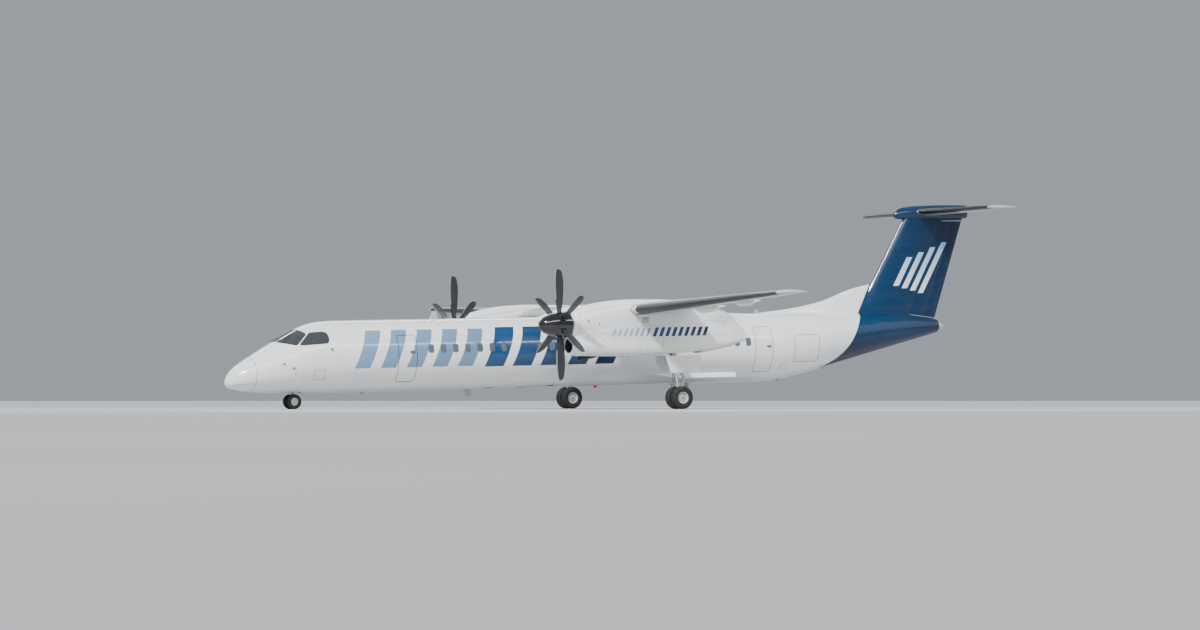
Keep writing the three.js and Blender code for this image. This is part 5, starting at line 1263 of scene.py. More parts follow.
class AIRLINER_OT_wings(bpy.types.Operator):
    """Builds both wings with boots, flaps, ailerons, flap fairings, lights and static wicks"""

    bl_idname = "airliner.wings"
    bl_label = "Wings"

    def execute(self, context):
        middle = section_loft([wing_section(side, out) for side, out in ((-1, 4.42), (-1, 1.6), (1, 1.6), (1, 4.42))])
        middle = cut(middle, *[flap_zone(side, 1.6, 4.5) for side in SIDES.values()], lining=True)
        emit("wing_middle", middle, "wing", "wing_centre", lining="duct")
        for name, side in SIDES.items():
            flap = common(wing_span(side, 1.615, WING_BREAK), flap_zone(side, 1.6, 4.5, FLAP_GAP))
            emit(f"flap_near_{name}", flap, "wing", f"flap_inner_{name}")
            zones = [boot_zone(side, 4.39, 13.902), flap_zone(side, 4.39, 10.0),
                     wing_band(side, 10.15, 13.85, cove_outline)]
            skin = cut(wing_panel(side, 4.4), *zones, lining=True)
            emit(f"wing_skin_{name}", skin, "wing", f"wing_{name}", lining="duct")
            boot = common(wing_panel(side, 4.4, 0.001), boot_zone(side, 4.38, 13.9, 0.0004))
            emit(f"wing_boot_skin_{name}", boot, "boot", f"wing_boot_{name}")
            flap = common(wing_panel(side, 4.4), flap_zone(side, 4.39, 9.985, FLAP_GAP))
            emit(f"flap_far_{name}", flap, "wing", f"flap_outer_{name}")
            aileron = wing_band(side, 10.166, 13.834, surface_outline)
            emit(f"aileron_skin_{name}", aileron, "wing", f"aileron_{name}", body=f"aileron_{name}")
            canoes = [flap_fairing(side, 7.0, 1.15, 0.33, 0.075, 0.15), flap_fairing(side, 9.88, 0.9, 0.3, 0.062, 0.12)]
            emit(f"flap_fairings_{name}", join_all(canoes), "nacelle")
            self.lights(name, side)
            feet = [wing_spot(side, out, 0.985) for out in (10.6, 11.5, 12.4, 13.3)]
            emit(f"aileron_wicks_{name}", wicks(feet, (0.15, 0, -0.004)), "hose", body=f"aileron_{name}")
            spot = underside(side, 5.7, 0.42)
            pad = bar(spot + UP * 0.02, spot - UP * 0.022, 0.07, segments=32, edge=0.003)
            emit(f"jack_pad_{name}", pad, "steel")
            self.seams(name, side)
            self.tank_covers(name, side)
        return {"FINISHED"}

    def lights(self, name, side):
        x, _, z = wing_spot(1, 14.02, 0)
        rows = []
        for t in spread(0, 1, 8):
            size = 1 - 0.5 * t
            rows.append((x + 0.012 + 0.3 * t * t, side * (14.05 + 0.13 * t), z + 0.002, 0.022 * size, 0.026 * size))
        emit(f"position_light_{name}", oval_loft(rows, 20), "red" if side < 0 else "green")
        x, _, z = wing_spot(1, 14.1, 0.9)
        rows = ((0.0, 0.006), (0.01, 0.014), (0.07, 0.015), (0.1, 0.009), (0.108, 0.0))
        strobe = oval_loft([(x + back, side * 14.12, z + 0.004, radius, radius) for back, radius in rows], 16)
        emit(f"tip_strobe_{name}", strobe, "clear")
        inner, outer = 4.93, 5.2
        x = wing_spot(1, 4.98, 0).x
        zone = block((x - 0.1, side * inner, 1.3), (x + 0.2, side * outer, 1.62))
        emit(f"landing_light_{name}", common(wing_span(side, inner, outer, 0.002), zone), "clear")

    def seams(self, name, side):
        """Spoiler seams on top and the dark strips in front of the flaps underneath, which are painted shade of the
        flaps' gaps.
        """
        front, back, half = 0.615, 0.742, 0.006
        for place, inner, outer, split in (("near", 5.15, 6.95, 1.56), ("far", 7.1, 9.75, 1.7)):
            outline = [wing_spot(side, out, share).xy[:]
                       for out, share in ((inner, front), (inner, back), (outer, back), (outer, front))]
            ring = cut(plan_prism(offset_outline(outline, half), split, 2.4),
                       plan_prism(offset_outline(outline, -half), split - 0.1, 2.5))
            skin = wing_skin(side, inner - 0.1, outer + 0.1, 0.0015, 0.006)
            emit(f"spoiler_seam_{place}_{name}", common(skin, ring), "seal")
        start = FLAP_START + (FLAP_SHROUD - FLAP_START) * 0.36 - 0.03
        strips = ((1.75, 3.8, 0.08), (1.67, 1.75, 0.5), (5.01, 6.85, 0.08), (4.94, 5.01, 0.5), (7.15, 9.76, 0.075),
                  (10.01, 10.06, 0.42))
        strips = [flap_gap_shade(side, inner, outer, start, wide) for inner, outer, wide in strips]
        emit(f"flap_gap_shades_{name}", join_all(strips), "seal")

    def tank_covers(self, name, side):
        panels, share = bmesh.new(), 0.36
        for out in (5.9, 7.9, 9.4, 11.2, 12.7):
            _, chord, deep, _ = wing_at(out)
            slope = math.atan2(foil_half(share + 0.1) - foil_half(share - 0.1), 0.2) * deep / chord
            turn = (Matrix.Translation(underside(side, out, share)) @ Matrix.Rotation(slope, 4, "Y")
                    @ Matrix.Rotation(side * DIHEDRAL, 4, "X"))
            points = [turn @ Vector((x, y, 0.006)) for x, y in rounded_rect(0, 0, 0.34, 0.2, 0.09)]
            prism(points, turn.to_3x3() @ (UP * -0.0095), panels)
        emit(f"tank_covers_{name}", panels, "wing")


# ---- Tail

FIN = [(0.85, 27.17, 31.09, 0.49), (5.1, 29.76, 32.64, 0.33)]  # height, front, back and thickness
FILLET = [(22.8, 1.352, 0.06), (24.2, 1.49, 0.17), (25.7, 1.76, 0.215), (27.15, 2.24, 0.24), (28.4, 2.5, 0.225)]
BULLET = [  # station, top, bottom and half width
    (29.27, 5.215, 5.215, 0.0), (29.34, 5.33, 5.105, 0.095), (29.48, 5.44, 5.05, 0.165), (29.8, 5.53, 5.028, 0.22),
    (30.5, 5.59, 5.03, 0.25), (31.7, 5.618, 5.04, 0.25), (32.4, 5.612, 5.05, 0.205), (32.8, 5.604, 5.062, 0.15),
]
TAIL_HEIGHT, TAIL_OUT, ELEVATOR_HINGE = 5.33, 4.635, 31.72
TAIL_EDGE = TAIL_OUT - 0.06  # where the rounding of the tip starts
RUDDER_HINGE, REAR_HINGE = 0.66, 0.85


def fin_at(height):
    """Leading edge, chord and thickness of the fin at a height."""
    share = (height - FIN[0][0]) / (FIN[1][0] - FIN[0][0])
    lead, trail, deep = (FIN[0][k] + (FIN[1][k] - FIN[0][k]) * share for k in (1, 2, 3))
    return lead, trail - lead, deep


def fin_band(outline, share):
    sections = []
    for height in (FIN[0][0], FIN[1][0]):
        lead, chord, deep = fin_at(height)
        spots = outline(surface_section(chord, deep, 0.0, share))
        sections.append([(lead + x, y, height) for x, y in spots])
    return section_loft(sections)


def rudder_band(clear):
    """Space of the rudder between the sloping tail and the fairing on the fin's tip."""
    front, back, top = 28.3, 33.3, 4.985 + clear
    feet = [(x, 1.182 - 0.128 * (x - 29.8) - clear) for x in (front, back)]
    return side_prism([*feet, (back, top), (front, top)], -0.6, 0.6)


def fillet():
    """Low ridge in front of the fin, sinking into the cabin's top."""
    top_line, base_line = table_lines(FILLET)
    start, end, sunk = FILLET[0][0], FILLET[-1][0], 1.0
    sections = []
    for station in spread(start, end, 32):
        crest = 0.026 + 0.02 * (1 - (station - start) / (end - start))
        half = []
        for t in spread(0, 1, 12):
            wide = base_line(station) * (1 - t) ** 1.4 + crest * min(1.0, (1 - t) * 6) * (0.4 + 0.6 * t)
            half.append((wide if t < 1 else 0.0, sunk + (top_line(station) - sunk) * (1 - (1 - t) ** 1.25)))
        sections.append([(station, y, z) for y, z in half] + [(station, -y, z) for y, z in reversed(half[:-1])])
    return section_loft(sections)


def bullet():
    start, end = BULLET[0][0], BULLET[-1][0]

    def root(station):
        return math.sqrt(station - start)

    lines = table_lines(BULLET, root)
    rows = []
    for place in spread(0, root(end), 34):
        top, bottom, half = (line(place) for line in lines)
        rows.append((start + place * place, 0.0, (top + bottom) / 2, half, (top - bottom) / 2 - 0.001))
    rows += [(32.818, 0.0, 5.332, 0.139, 0.258), (32.8295, 0.0, 5.33, 0.12, 0.24)]
    return oval_loft(rows, 64)


def tail_at(out):
    """Leading edge, chord and thickness of the tailplane at a distance from the middle."""
    share = out / TAIL_EDGE
    lead, trail, deep = (a + (b - a) * share for a, b in ((30.24, 30.75), (32.62, 32.215), (0.285, 0.15)))
    return lead, trail - lead, deep


def tail_section(side, out, wide=1.0, thin=1.0, grow=0.0):
    lead, chord, deep = tail_at(min(out, TAIL_EDGE))
    return [(lead + chord * (1 - wide) + x * wide, side * out, TAIL_HEIGHT + z * thin)
            for x, z in foil_points(chord, deep, 0.0, 22, grow)]


def tail_panel(grow=0.0):
    tips = ((TAIL_EDGE, 1, 1), (TAIL_OUT - 0.035, 0.99, 0.9), (TAIL_OUT - 0.014, 0.975, 0.65), (TAIL_OUT, 0.95, 0.3))
    left, right = ([tail_section(side, *tip, grow) for tip in tips] for side in (-1, 1))
    return section_loft([*reversed(left), tail_section(1, 0.0, grow=grow), *right])


def elevator_band(side, inner, outer, outline):
    sections = []
    for out in (inner, outer):
        lead, chord, deep = tail_at(out)
        spots = outline(surface_section(chord, deep, 0.0, (ELEVATOR_HINGE - lead) / chord))
        sections.append([(lead + x, side * out, TAIL_HEIGHT + z) for x, z in spots])
    return section_loft(sections)


def tail_boot_zone(side, slack=0.0):
    back, ahead = 0.12 * tail_at(0)[1] - slack, 29.0
    inner, outer = 0.33, TAIL_OUT - 0.1
    return plan_prism([(ahead, side * inner), (tail_at(inner)[0] + back, side * inner),
                       (tail_at(outer)[0] + back, side * outer), (ahead, side * outer)], 4.9, 5.8)


class AIRLINER_OT_tail(bpy.types.Operator):
    """Builds the fin with its two-piece rudder, the fairing on its tip, the tailplane and the elevators"""

    bl_idname = "airliner.tail"
    bl_label = "Tail"

    def execute(self, context):
        sections = []
        for height in (FIN[0][0], 3.0, FIN[1][0]):
            lead, chord, deep = fin_at(height)
            sections.append([(lead + x, y, height) for x, y in foil_points(chord, deep, 0.0, 26)])
        cove = common(fin_band(cove_outline, RUDDER_HINGE), rudder_band(0.0))
        under = hull(22.0, HULL_END - 0.01, -0.01)
        fin = cut(join(section_loft(sections), fillet()), cove, under, lining=True)
        emit("fin_skin", fin, "tail", "fin", lining="duct")
        moving = common(fin_band(surface_outline, RUDDER_HINGE), rudder_band(-0.026))
        moving = cut(moving, fin_band(cove_outline, REAR_HINGE), lining=True)
        emit("rudder_skin", moving, "tail", "rudder", body="rudder", lining="duct")
        rear = common(fin_band(surface_outline, REAR_HINGE), rudder_band(-0.028))
        emit("rudder_rear_skin", rear, "tail", "rudder_trailing", body="rudder_trailing")
        emit("fin_tip_bullet", bullet(), "tail", "fin_tip_fairing")
        zones = [tail_boot_zone(side) for side in SIDES.values()]
        zones += [elevator_band(side, 0.3, TAIL_OUT - 0.19, cove_outline) for side in SIDES.values()]
        emit("tailplane_skin", cut(tail_panel(), *zones, lining=True), "wing", "tailplane", lining="duct")
        for name, side in SIDES.items():
            boot = common(tail_panel(0.001), tail_boot_zone(side, 0.0004))
            emit(f"tailplane_boot_skin_{name}", boot, "boot", f"tailplane_boot_{name}")
            elevator = elevator_band(side, 0.316, TAIL_OUT - 0.206, surface_outline)
            emit(f"elevator_skin_{name}", elevator, "wing", f"elevator_{name}", body="elevators")
            rows = [(out, *tail_at(out)) for out in (2.3, 3.2, 4.1)]
            feet = [Vector((lead + chord * 0.985, side * out, TAIL_HEIGHT)) for out, lead, chord, _ in rows]
            emit(f"elevator_wicks_{name}", wicks(feet, (0.13, 0, 0)), "hose", body="elevators")
        lens = oval_loft([(32.826, 0, 5.33, 0.045, 0.045), (32.8298, 0, 5.33, 0.04, 0.04)], 24)
        emit("tail_light", lens, "clear")
        rows = [(height, *fin_at(height)) for height in (1.9, 2.9, 3.9, 4.7)]
        feet = [Vector((lead + chord * 0.99, 0, height)) for height, lead, chord, _ in rows]
        emit("rudder_wicks", wicks(feet, (0.12, 0, -0.01)), "hose", body="rudder_trailing")
        emit("tail_beacon", ball((29.95, 0, 5.525), Matrix(), (0.06, 0.05, 0.065)), "red")
        return {"FINISHED"}


# ---- Nacelles with intake, exhaust and doors

NACELLE = [  # station, top, bottom, half width, chin, waist, the waist's height and how square the ovals are
    (11.935, 1.492, -0.1, 0.5, 0.35, 0.23, 0.56, 2.0), (12.12, 1.56, -0.172, 0.515, 0.4, 0.33, 0.56, 2.0),
    (12.48, 1.655, -0.205, 0.522, 0.44, 0.425, 0.56, 2.1), (12.98, 1.762, -0.215, 0.52, 0.47, 0.485, 0.56, 2.3),
    (13.7, 1.85, -0.225, 0.508, 0.492, 0.505, 0.56, 2.7), (14.56, 1.89, -0.235, 0.5, 0.5, 0.5, 0.6, 3.2),
    (16.4, 1.85, -0.24, 0.5, 0.5, 0.5, 0.7, 3.4), (17.4, 1.718, -0.174, 0.494, 0.494, 0.494, 0.735, 3.4),
    (18.29, 1.495, -0.05, 0.44, 0.44, 0.44, 0.7, 2.906), (18.6, 1.395, 0.015, 0.425, 0.425, 0.425, 0.68, 3.264),
    (18.78, 1.231, 0.052, 0.404, 0.404, 0.404, 0.625, 3.621), (19.05, 0.985, 0.138, 0.358, 0.358, 0.358, 0.54, 3.0),
    (19.45, 0.61, 0.25, 0.27, 0.27, 0.27, 0.43, 2.4),
]
NACELLE_LINES = table_lines(NACELLE)
BAY = SimpleNamespace(start=15.78, leg=17.38, door=17.4, end=18.78, half=0.4, door_half=0.325, roof=0.78, skin=0.045)
INTAKE = [(11.86, 0.215, 0.285, 0.262), (11.95, 0.2, 0.278, 0.25), (12.13, 0.165, 0.265, 0.225),
          (12.65, 0.09, 0.225, 0.19)]  # station, height, half width and half height
HUB_STATION, HUB_HEIGHT, EXHAUST_HEIGHT = 11.56, 0.99, 1.5
COWLS = [
    [(12.16, 0.66), (14.6, 0.66), (14.6, 1.74), (12.16, 1.42)],
    [(12.5, -0.12), (14.6, -0.15), (14.6, 0.59), (12.5, 0.59)],
    [(14.7, -0.15), (15.7, -0.15), (15.7, 0.9), (14.7, 0.9)],
    [(17.5, 0.5), (18.5, 0.5), (18.4, 1.0), (17.5, 1.05)],
]


def nacelle_half(row, z):
    """Half width at a height: an upper oval, a chin oval and a waist between them."""
    top, bottom, half, chin, waist, waist_at, square = row

    def oval(low, high, wide):
        off = abs(z - (low + high) / 2) / ((high - low) / 2)
        return 0.0 if off >= 1 else wide * (1 - off**square) ** (1 / square)

    return max(oval(bottom, top, min(half, chin, waist)), oval(waist_at - 0.07, top, half),
               oval(bottom, waist_at + 0.04, chin))


def nacelle_section(side, station, grow=0.0, steps=30):
    row = [line(station) for line in NACELLE_LINES]
    top, bottom = row[:2]
    ups = [(1 - math.cos(math.pi * i / steps)) / 2 for i in range(steps + 1)]

    def spot(share, way):
        z = bottom + (top - bottom) * share
        wide = nacelle_half(row, z) + (grow if 0 < share < 1 else 0)
        return station, side * NACELLE_OUT + way * max(wide, 0.0), z + grow * (2 * share - 1)

    return [spot(s, 1) for s in ups] + [spot(s, -1) for s in reversed(ups[1:-1])]


def nacelle_hull(side, grow=0.0):
    """A nacelle's closed body; the one that isn't grown has its front and rear rims rounded off."""
    front, back = NACELLE[0][0], NACELLE[-1][0]
    stations = spread(front, 14.56, 18) + spread(14.7, back, 26)
    if grow:
        return section_loft([nacelle_section(side, station, grow) for station in stations])
    inner = [front + 0.012, *stations[1:-1], back - 0.014]
    return section_loft([nacelle_section(side, front, -0.014), *[nacelle_section(side, station) for station in inner],
                         nacelle_section(side, back, -0.012)])


def nacelle_shell(side, proud, depth):
    return cut(nacelle_hull(side, proud), nacelle_hull(side, -depth))


def door_leaf(side, way, grow=0.0):
    """One of the two rear doors under a nacelle, closed."""
    y = side * NACELLE_OUT
    zone = block((BAY.door + RUN - grow, y + way * 0.011, -0.4),
                 (BAY.end - 2 * RUN + grow, y + way * (BAY.door_half - RUN + grow), 0.6))
    return common(nacelle_shell(side, grow, BAY.skin), zone)


def swung(bm, joint, degrees):
    """The mesh turned about a joint, still in the airframe's axes."""
    pivot = Matrix.Translation(Vector(HINGES[joint]["pos_m"]))
    turn = pivot @ Matrix.Rotation(math.radians(degrees), 4, Vector(HINGES[joint]["axis"])) @ pivot.inverted()
    bmesh.ops.transform(bm, matrix=AIRFRAME.inverted() @ turn @ AIRFRAME, verts=bm.verts)
    return bm


def bay_ribs(stations, y, half, bay, tall, deep, foot):
    """Frames round a wheel bay: a beam under its roof and an upright on each wall at every station."""
    ribs, wall, beam = bmesh.new(), bay.half - 0.001, bay.roof - tall
    for x in stations:
        block((x - half, y - wall, beam), (x + half, y + wall, bay.roof - 0.001), ribs)
        for way in (-1, 1):
            block((x - half, y + way * wall, foot), (x + half, y + way * (wall - deep), beam), ribs)
    return ribs


class AIRLINER_OT_nacelles(bpy.types.Operator):
    """Builds both engine nacelles with their intakes, exhausts, wheel bays and doors"""

    bl_idname = "airliner.nacelles"
    bl_label = "Nacelles"

    def execute(self, context):
        for name, side in SIDES.items():
            y = side * NACELLE_OUT

            def along(start, end, height, radius):
                return bar((start, y, height), (end, y, height), radius, segments=48)

            bay = join(block((BAY.start, y - BAY.half, -0.5), (BAY.leg, y + BAY.half, BAY.roof)),
                       block((BAY.leg - 0.005, y - BAY.door_half, -0.5), (BAY.end, y + BAY.door_half, 0.72)))
            hollows = [along(17.34, 18.96, EXHAUST_HEIGHT, 0.205), oval_loft([(s, y, *row) for s, *row in INTAKE]),
                       along(11.8, 12.8, HUB_HEIGHT, 0.245)]
            hollows += [bar((s, y + way * 0.3, z), (s, y + way * 0.6, z), radius)
                        for way in (-1, 1) for s, z, radius in ((12.52, 1.1, 0.035), (12.98, 0.98, 0.03))]
            swept = []
            for way, place in ((side, "outer"), (-side, "inner")):
                part = f"main_gear_door_{name}_{place}"
                emit(f"main_door_{name}_{place}", door_leaf(side, way), "nacelle", part, body=part)
                swept += [swung(door_leaf(side, way, 0.004), f"{part}_hinge", turn) for turn in (25, 50, 70, 85)]
            line_faces(1, *hollows)
            line_faces(2, bay, *swept)
            shell = cut(nacelle_hull(side), bay, *hollows, *swept)
            emit(f"nacelle_skin_{name}", shell, "nacelle", f"nacelle_{name}", lining="duct primer")
            self.bay_frames(name, y)
            pipe = cut(along(17.35, 18.06, EXHAUST_HEIGHT, 0.218), along(17.41, 18.96, EXHAUST_HEIGHT, 0.19))
            emit(f"exhaust_pipe_{name}", pipe, "exhaust")
            lip = cut(oval_loft([(11.93, y, 0.204, 0.297, 0.271), (11.936, y, 0.203, 0.302, 0.276),
                                 (11.97, y, 0.197, 0.301, 0.275)], 64),
                      oval_loft([(11.9, y, 0.208, 0.283, 0.257), (12.0, y, 0.192, 0.276, 0.246)], 64))
            emit(f"intake_lip_{name}", lip, "seal")
            self.scoops(name, y)
            self.cowls(name, side, y)
        return {"FINISHED"}

    def bay_frames(self, name, y):
        ribs = bay_ribs(spread(15.9, 17.25, 7), y, 0.01, BAY, 0.045, 0.027, -0.12)
        for way in (-1, 1):
            block((BAY.start + 0.01, y + way * 0.399, 0.3), (BAY.leg - 0.01, y + way * 0.38, 0.32), ribs)
        emit(f"bay_frames_{name}", ribs, "primer")
        pipes = [bent_bar([(15.8, y + off, 0.7), (16.2, y + off, 0.715), (16.7, y + off * 0.8, 0.705),
                           (17.36, y + off, 0.7)], 0.009) for off in (-0.2, -0.16, 0.12, 0.22)]
        emit(f"bay_pipes_{name}", join_all(pipes), "steel")

    def scoops(self, name, y):
        body = oval_loft([(12.36, y, -0.252, 0.1, 0.068), (12.42, y, -0.254, 0.105, 0.074),
                          (12.8, y, -0.245, 0.09, 0.06), (13.1, y, -0.225, 0.05, 0.02)], 32)
        hollow = oval_loft([(12.3, y, -0.252, 0.088, 0.056), (12.7, y, -0.25, 0.07, 0.045)], 32)
        emit(f"oil_scoop_{name}", cut(body, hollow, lining=True), "seal", lining="duct")
        drains = [bar((s, y + off, -0.2), (s + 0.03, y + off, -0.3), 0.012, 0.01, 12)
                  for s, off in ((14.1, 0.14), (14.22, 0.02), (14.35, -0.13))]
        emit(f"drain_pipes_{name}", join_all(drains), "steel")

    def cowls(self, name, side, y):
        """Louvres, seams and latches of the cowls."""
        louvres, doors, gaps, latches = (bmesh.new() for _ in range(4))
        slots = [rounded_rect(14.95, 1.02 + 0.045 * i, 0.3, 0.02, 0.009, 3) for i in range(5)]
        plates = [rounded_rect(12.75 + 0.42 * i, 0.4, 0.07, 0.025, 0.008, 3) for i in range(6)]
        for way in (-1, 1):
            for bm, outlines in ((louvres, slots), (latches, plates)):
                for outline in outlines:
                    side_prism(outline, y + way * 0.4, y + way * 0.56, bm)
        for outline in COWLS:
            outline = rounded_outline(outline, 0.05)
            side_prism(outline, y - 0.56, y + 0.56, doors)
            side_prism(offset_outline(outline, -0.007), y - 0.6, y + 0.6, gaps)
        # The louvres are flat near-black patches: painted shade of their slots.
        emit(f"cowl_louvres_{name}", common(nacelle_shell(side, 0.002, 0.01), louvres), "duct")
        emit(f"cowl_seams_{name}", common(nacelle_shell(side, 0.0012, 0.006), cut(doors, gaps)), "seal")
        emit(f"cowl_latches_{name}", common(nacelle_shell(side, 0.0035, 0.01), latches), "steel")


# ---- Propellers

BLADE = [  # radius, chord, thickness and twist in degrees
    (0.43, 0.17, 0.1, 12), (0.8, 0.3, 0.048, 7), (1.5, 0.365, 0.029, -1), (1.96, 0.255, 0.014, -7),
    (2.055, 0.11, 0.007, -9),
]
BLADE_LINES = table_lines(BLADE)
BLADE_TURNS = [2 * math.pi * i / 6 for i in range(6)]


def twisted(spots, at):
    """Points of a blade's section, from its front edge, turned to its twist at a radius."""
    chord, _, twist = (line(at) for line in BLADE_LINES)
    cos, sin = math.cos(math.radians(twist)), math.sin(math.radians(twist))
    spots = [(x - 0.42 * chord, t) for x, t in spots]
    return [(x * cos - t * sin, x * sin + t * cos, at) for x, t in spots]


def blade_section(at, grow=0.0):
    chord, deep, _ = (line(at) for line in BLADE_LINES)
    return twisted(foil_points(chord, deep, 0.02, 14, grow), at)


def blade_wrap(start, end, number, grow):
    """Skin over the front tenth of a blade between two radii."""
    radii = spread(start, end, number)
    fronts = []
    for at in radii:
        back = 0.1 * BLADE_LINES[0](at)
        fronts.append(twisted([(-0.05, -0.1), (back, -0.1), (back, 0.1), (-0.05, 0.1)], at))
    return common(section_loft([blade_section(at, grow) for at in radii]), section_loft(fronts))


def around_hub(make, y):
    """Six of a part, which is made upright over the hub's middle, as one mesh."""
    parts = []
    for turn in BLADE_TURNS:
        part = make()
        matrix = Matrix.Translation((HUB_STATION, y, HUB_HEIGHT)) @ Matrix.Rotation(turn, 4, "X")
        bmesh.ops.transform(part, matrix=matrix, verts=part.verts)
        parts.append(part)
    return join_all(parts)


def ogive_rows(tip, base, radius, number, y):
    """Rows of a pointed body that swells from its tip to its base."""
    rows = []
    for turn in spread(0, math.pi / 2, number):
        size = radius * math.sin(turn) ** 0.94
        rows.append((tip + (base - tip) * (1 - math.cos(turn)), y, HUB_HEIGHT, size, size))
    return rows


class AIRLINER_OT_propellers(bpy.types.Operator):
    """Builds both six-blade propellers with their spinners, hubs and metal edges"""

    bl_idname = "airliner.propellers"
    bl_label = "Propellers"

    def execute(self, context):
        radii = [*spread(0.43, 1.9, 22), 1.96, 2.0, 2.03, 2.048, 2.054]
        for name, side in SIDES.items():
            y, body = side * NACELLE_OUT, f"propeller_{name}"
            for piece, finish, nodes, make in (
                ("blades", "blade", [body], lambda: section_loft([blade_section(at) for at in radii])),
                ("blade_edges", "sheath", [], lambda: blade_wrap(0.95, 2.0, 18, 0.0012)),
                ("blade_boots", "boot", [], lambda: blade_wrap(0.5, 0.93, 10, 0.0015)),
                ("blade_cuffs", "blade", [], lambda: bar(UP * 0.13, UP * 0.47, 0.082, 0.07, 32, 0.006)),
            ):
                emit(f"{piece}_{name}", around_hub(make, y), finish, *nodes, body=body)
            middle = Vector((HUB_STATION, y, HUB_HEIGHT))
            hub = join(bar(middle - AFT * 0.19, middle + AFT * 0.165, 0.215, segments=48, edge=0.015),
                       bar(middle + AFT * 0.16, middle + AFT * 0.31, 0.155, segments=48))
            emit(f"hub_{name}", hub, "steel", body=body)
            profile = [(0.1, 0.301), (0.487, 0.301), (0.49, 0.306), (0.49, 0.312), (0.486, 0.315), (0.1, 0.315)]
            emit(f"back_plate_{name}", turned(profile, middle, AFT, 96), "spinner", body=body)
            shell = oval_loft(ogive_rows(10.71, 11.8605, 0.49, 26, y), 72)
            hollow = oval_loft(ogive_rows(10.76, 11.8615, 0.468, 18, y) + [(11.9, y, HUB_HEIGHT, 0.468, 0.468)])
            holes = around_hub(lambda: bar(UP * 0.2, UP * 0.64, 0.112, segments=32), y)
            spinner = cut(shell, hollow, holes)
            emit(f"spinner_shell_{name}", spinner, "spinner", f"spinner_{name}", body=body)
            screws = []
            for i in range(24):
                turn = 2 * math.pi * (i + 0.5) / 24
                out = Vector((0, math.sin(turn), math.cos(turn)))
                spot = Vector((11.835, y, HUB_HEIGHT)) + out * 0.489
                screws.append(bar(spot - out * 0.004, spot + out * 0.0012, 0.006, segments=10))
            emit(f"spinner_screws_{name}", join_all(screws), "steel", body=body)
        return {"FINISHED"}


# ---- Wheels and landing gear

MAIN_TYRE = SimpleNamespace(radius=0.432, width=0.273, rim=0.215, hole=0.055, bolts=9)
NOSE_TYRE = SimpleNamespace(radius=0.2795, width=0.165, rim=0.135, hole=0.04, bolts=7)
WHEELBASE = 13.94
NOSE_STATION = AXLE_STATION - WHEELBASE
NOSE_HEIGHT = (NOSE_TYRE.radius - CABIN_LEVEL + WHEELBASE * math.sin(PITCH)) / math.cos(PITCH)
LEG_DOOR = [  # outline, rounding and where its two faces lie from the door's inner face outwards
    ([(15.81, -0.255), (17.35, -0.255), (17.25, -0.9), (16.01, -0.9)], 0.05, 0.0, 0.026),
    ([(15.9, -0.3), (17.26, -0.3), (17.18, -0.34), (15.93, -0.34)], 0.01, 0.002, -0.02),
    ([(16.02, -0.8), (17.2, -0.8), (17.19, -0.84), (16.04, -0.84)], 0.01, 0.002, -0.02),
]


def tyre_profile(spec):
    """Bead, bulged sidewall with its rub line, shoulder and grooved tread, as radius and width."""
    half, depth = spec.width / 2, spec.radius - spec.rim
    wall = ((0.06, 0.8), (0.2, 0.93), (0.38, 0.995), (0.5, 1.0), (0.56, 0.995), (0.7, 0.95), (0.85, 0.83), (0.95, 0.68),
            (0.988, 0.56))
    right = [(spec.rim + 0.001, half * 0.66), *[(spec.rim + depth * up, half * out) for up, out in wall]]
    crown, floor, groove = spec.radius - 0.0002, spec.radius - depth * 0.045, half * 0.05
    tread = []
    for i in range(sizes().tread_grooves):
        at = half * (0.5 - (i + 0.5) / sizes().tread_grooves)
        tread += [(crown, at + groove), (floor, at + groove * 0.7), (floor, at - groove * 0.7), (crown, at - groove)]
    return right + tread + [(radius, -out) for radius, out in reversed(right)]


def spots_round(centre, radius, number, shift=0.0):
    """Evenly spaced points on an upright circle in the plane of the wheels."""
    turns = [2 * math.pi * (i + shift) / number for i in range(number)]
    return [Vector(centre) + Vector((math.cos(turn), 0, math.sin(turn))) * radius for turn in turns]


def wheel(spec, centre, way, body, kind, place):
    """A tyre and its rim with bolts, bearing cap and valve; way is its outer side."""
    tyre = turned(tyre_profile(spec), centre, ACROSS, 96)
    emit(f"{kind}_{place}_tyre", tyre, "tyre", f"{kind}_tyre_{place}", body=body, angle=28)
    half, edge = spec.width / 2 * 0.72, spec.rim
    profile = [
        (spec.hole, -0.75), (edge * 0.35, -0.8), (edge * 0.82, -0.62), (edge - 0.012, -0.94), (edge + 0.012, -1.0),
        (edge + 0.013, -0.9), (edge - 0.004, -0.85), (edge - 0.004, 0.85), (edge + 0.013, 0.9), (edge + 0.012, 1.0),
        (edge - 0.01, 0.95), (edge - 0.022, 0.55), (edge * 0.8, 0.18), (edge * 0.55, 0.22), (edge * 0.42, 0.6),
        (spec.hole, 0.7)]
    disc = turned([(radius, out * half * way) for radius, out in profile], centre, ACROSS, 72)
    holes = [pin(spot, 0.2, edge * 0.085, 20) for spot in spots_round(centre, edge * 0.7, spec.bolts)]
    emit(f"{kind}_{place}_rim", cut(disc, join_all(holes)), "rim", f"{kind}_rim_{place}", body=body, angle=28)
    out = ACROSS * way * half
    extras = [bar(spot + out * 0.17, spot + out * 0.31, edge * 0.035, segments=6)
              for spot in spots_round(centre, edge * 0.68, spec.bolts, 0.5)]
    extras.append(bar(centre + out * 0.55, centre + out * 0.97, edge * 0.26, edge * 0.2, 32, edge * 0.02))
    extras.append(bar(centre + out * 0.95, centre + out * 1.07, edge * 0.1, segments=6))
    valve = centre + AFT * edge * 0.5 + UP * edge * 0.62
    extras.append(bar(valve + out * 0.2, valve + out * 0.5, edge * 0.022, segments=10))
    emit(f"{kind}_{place}_bolts", join_all(extras), "steel", body=body)


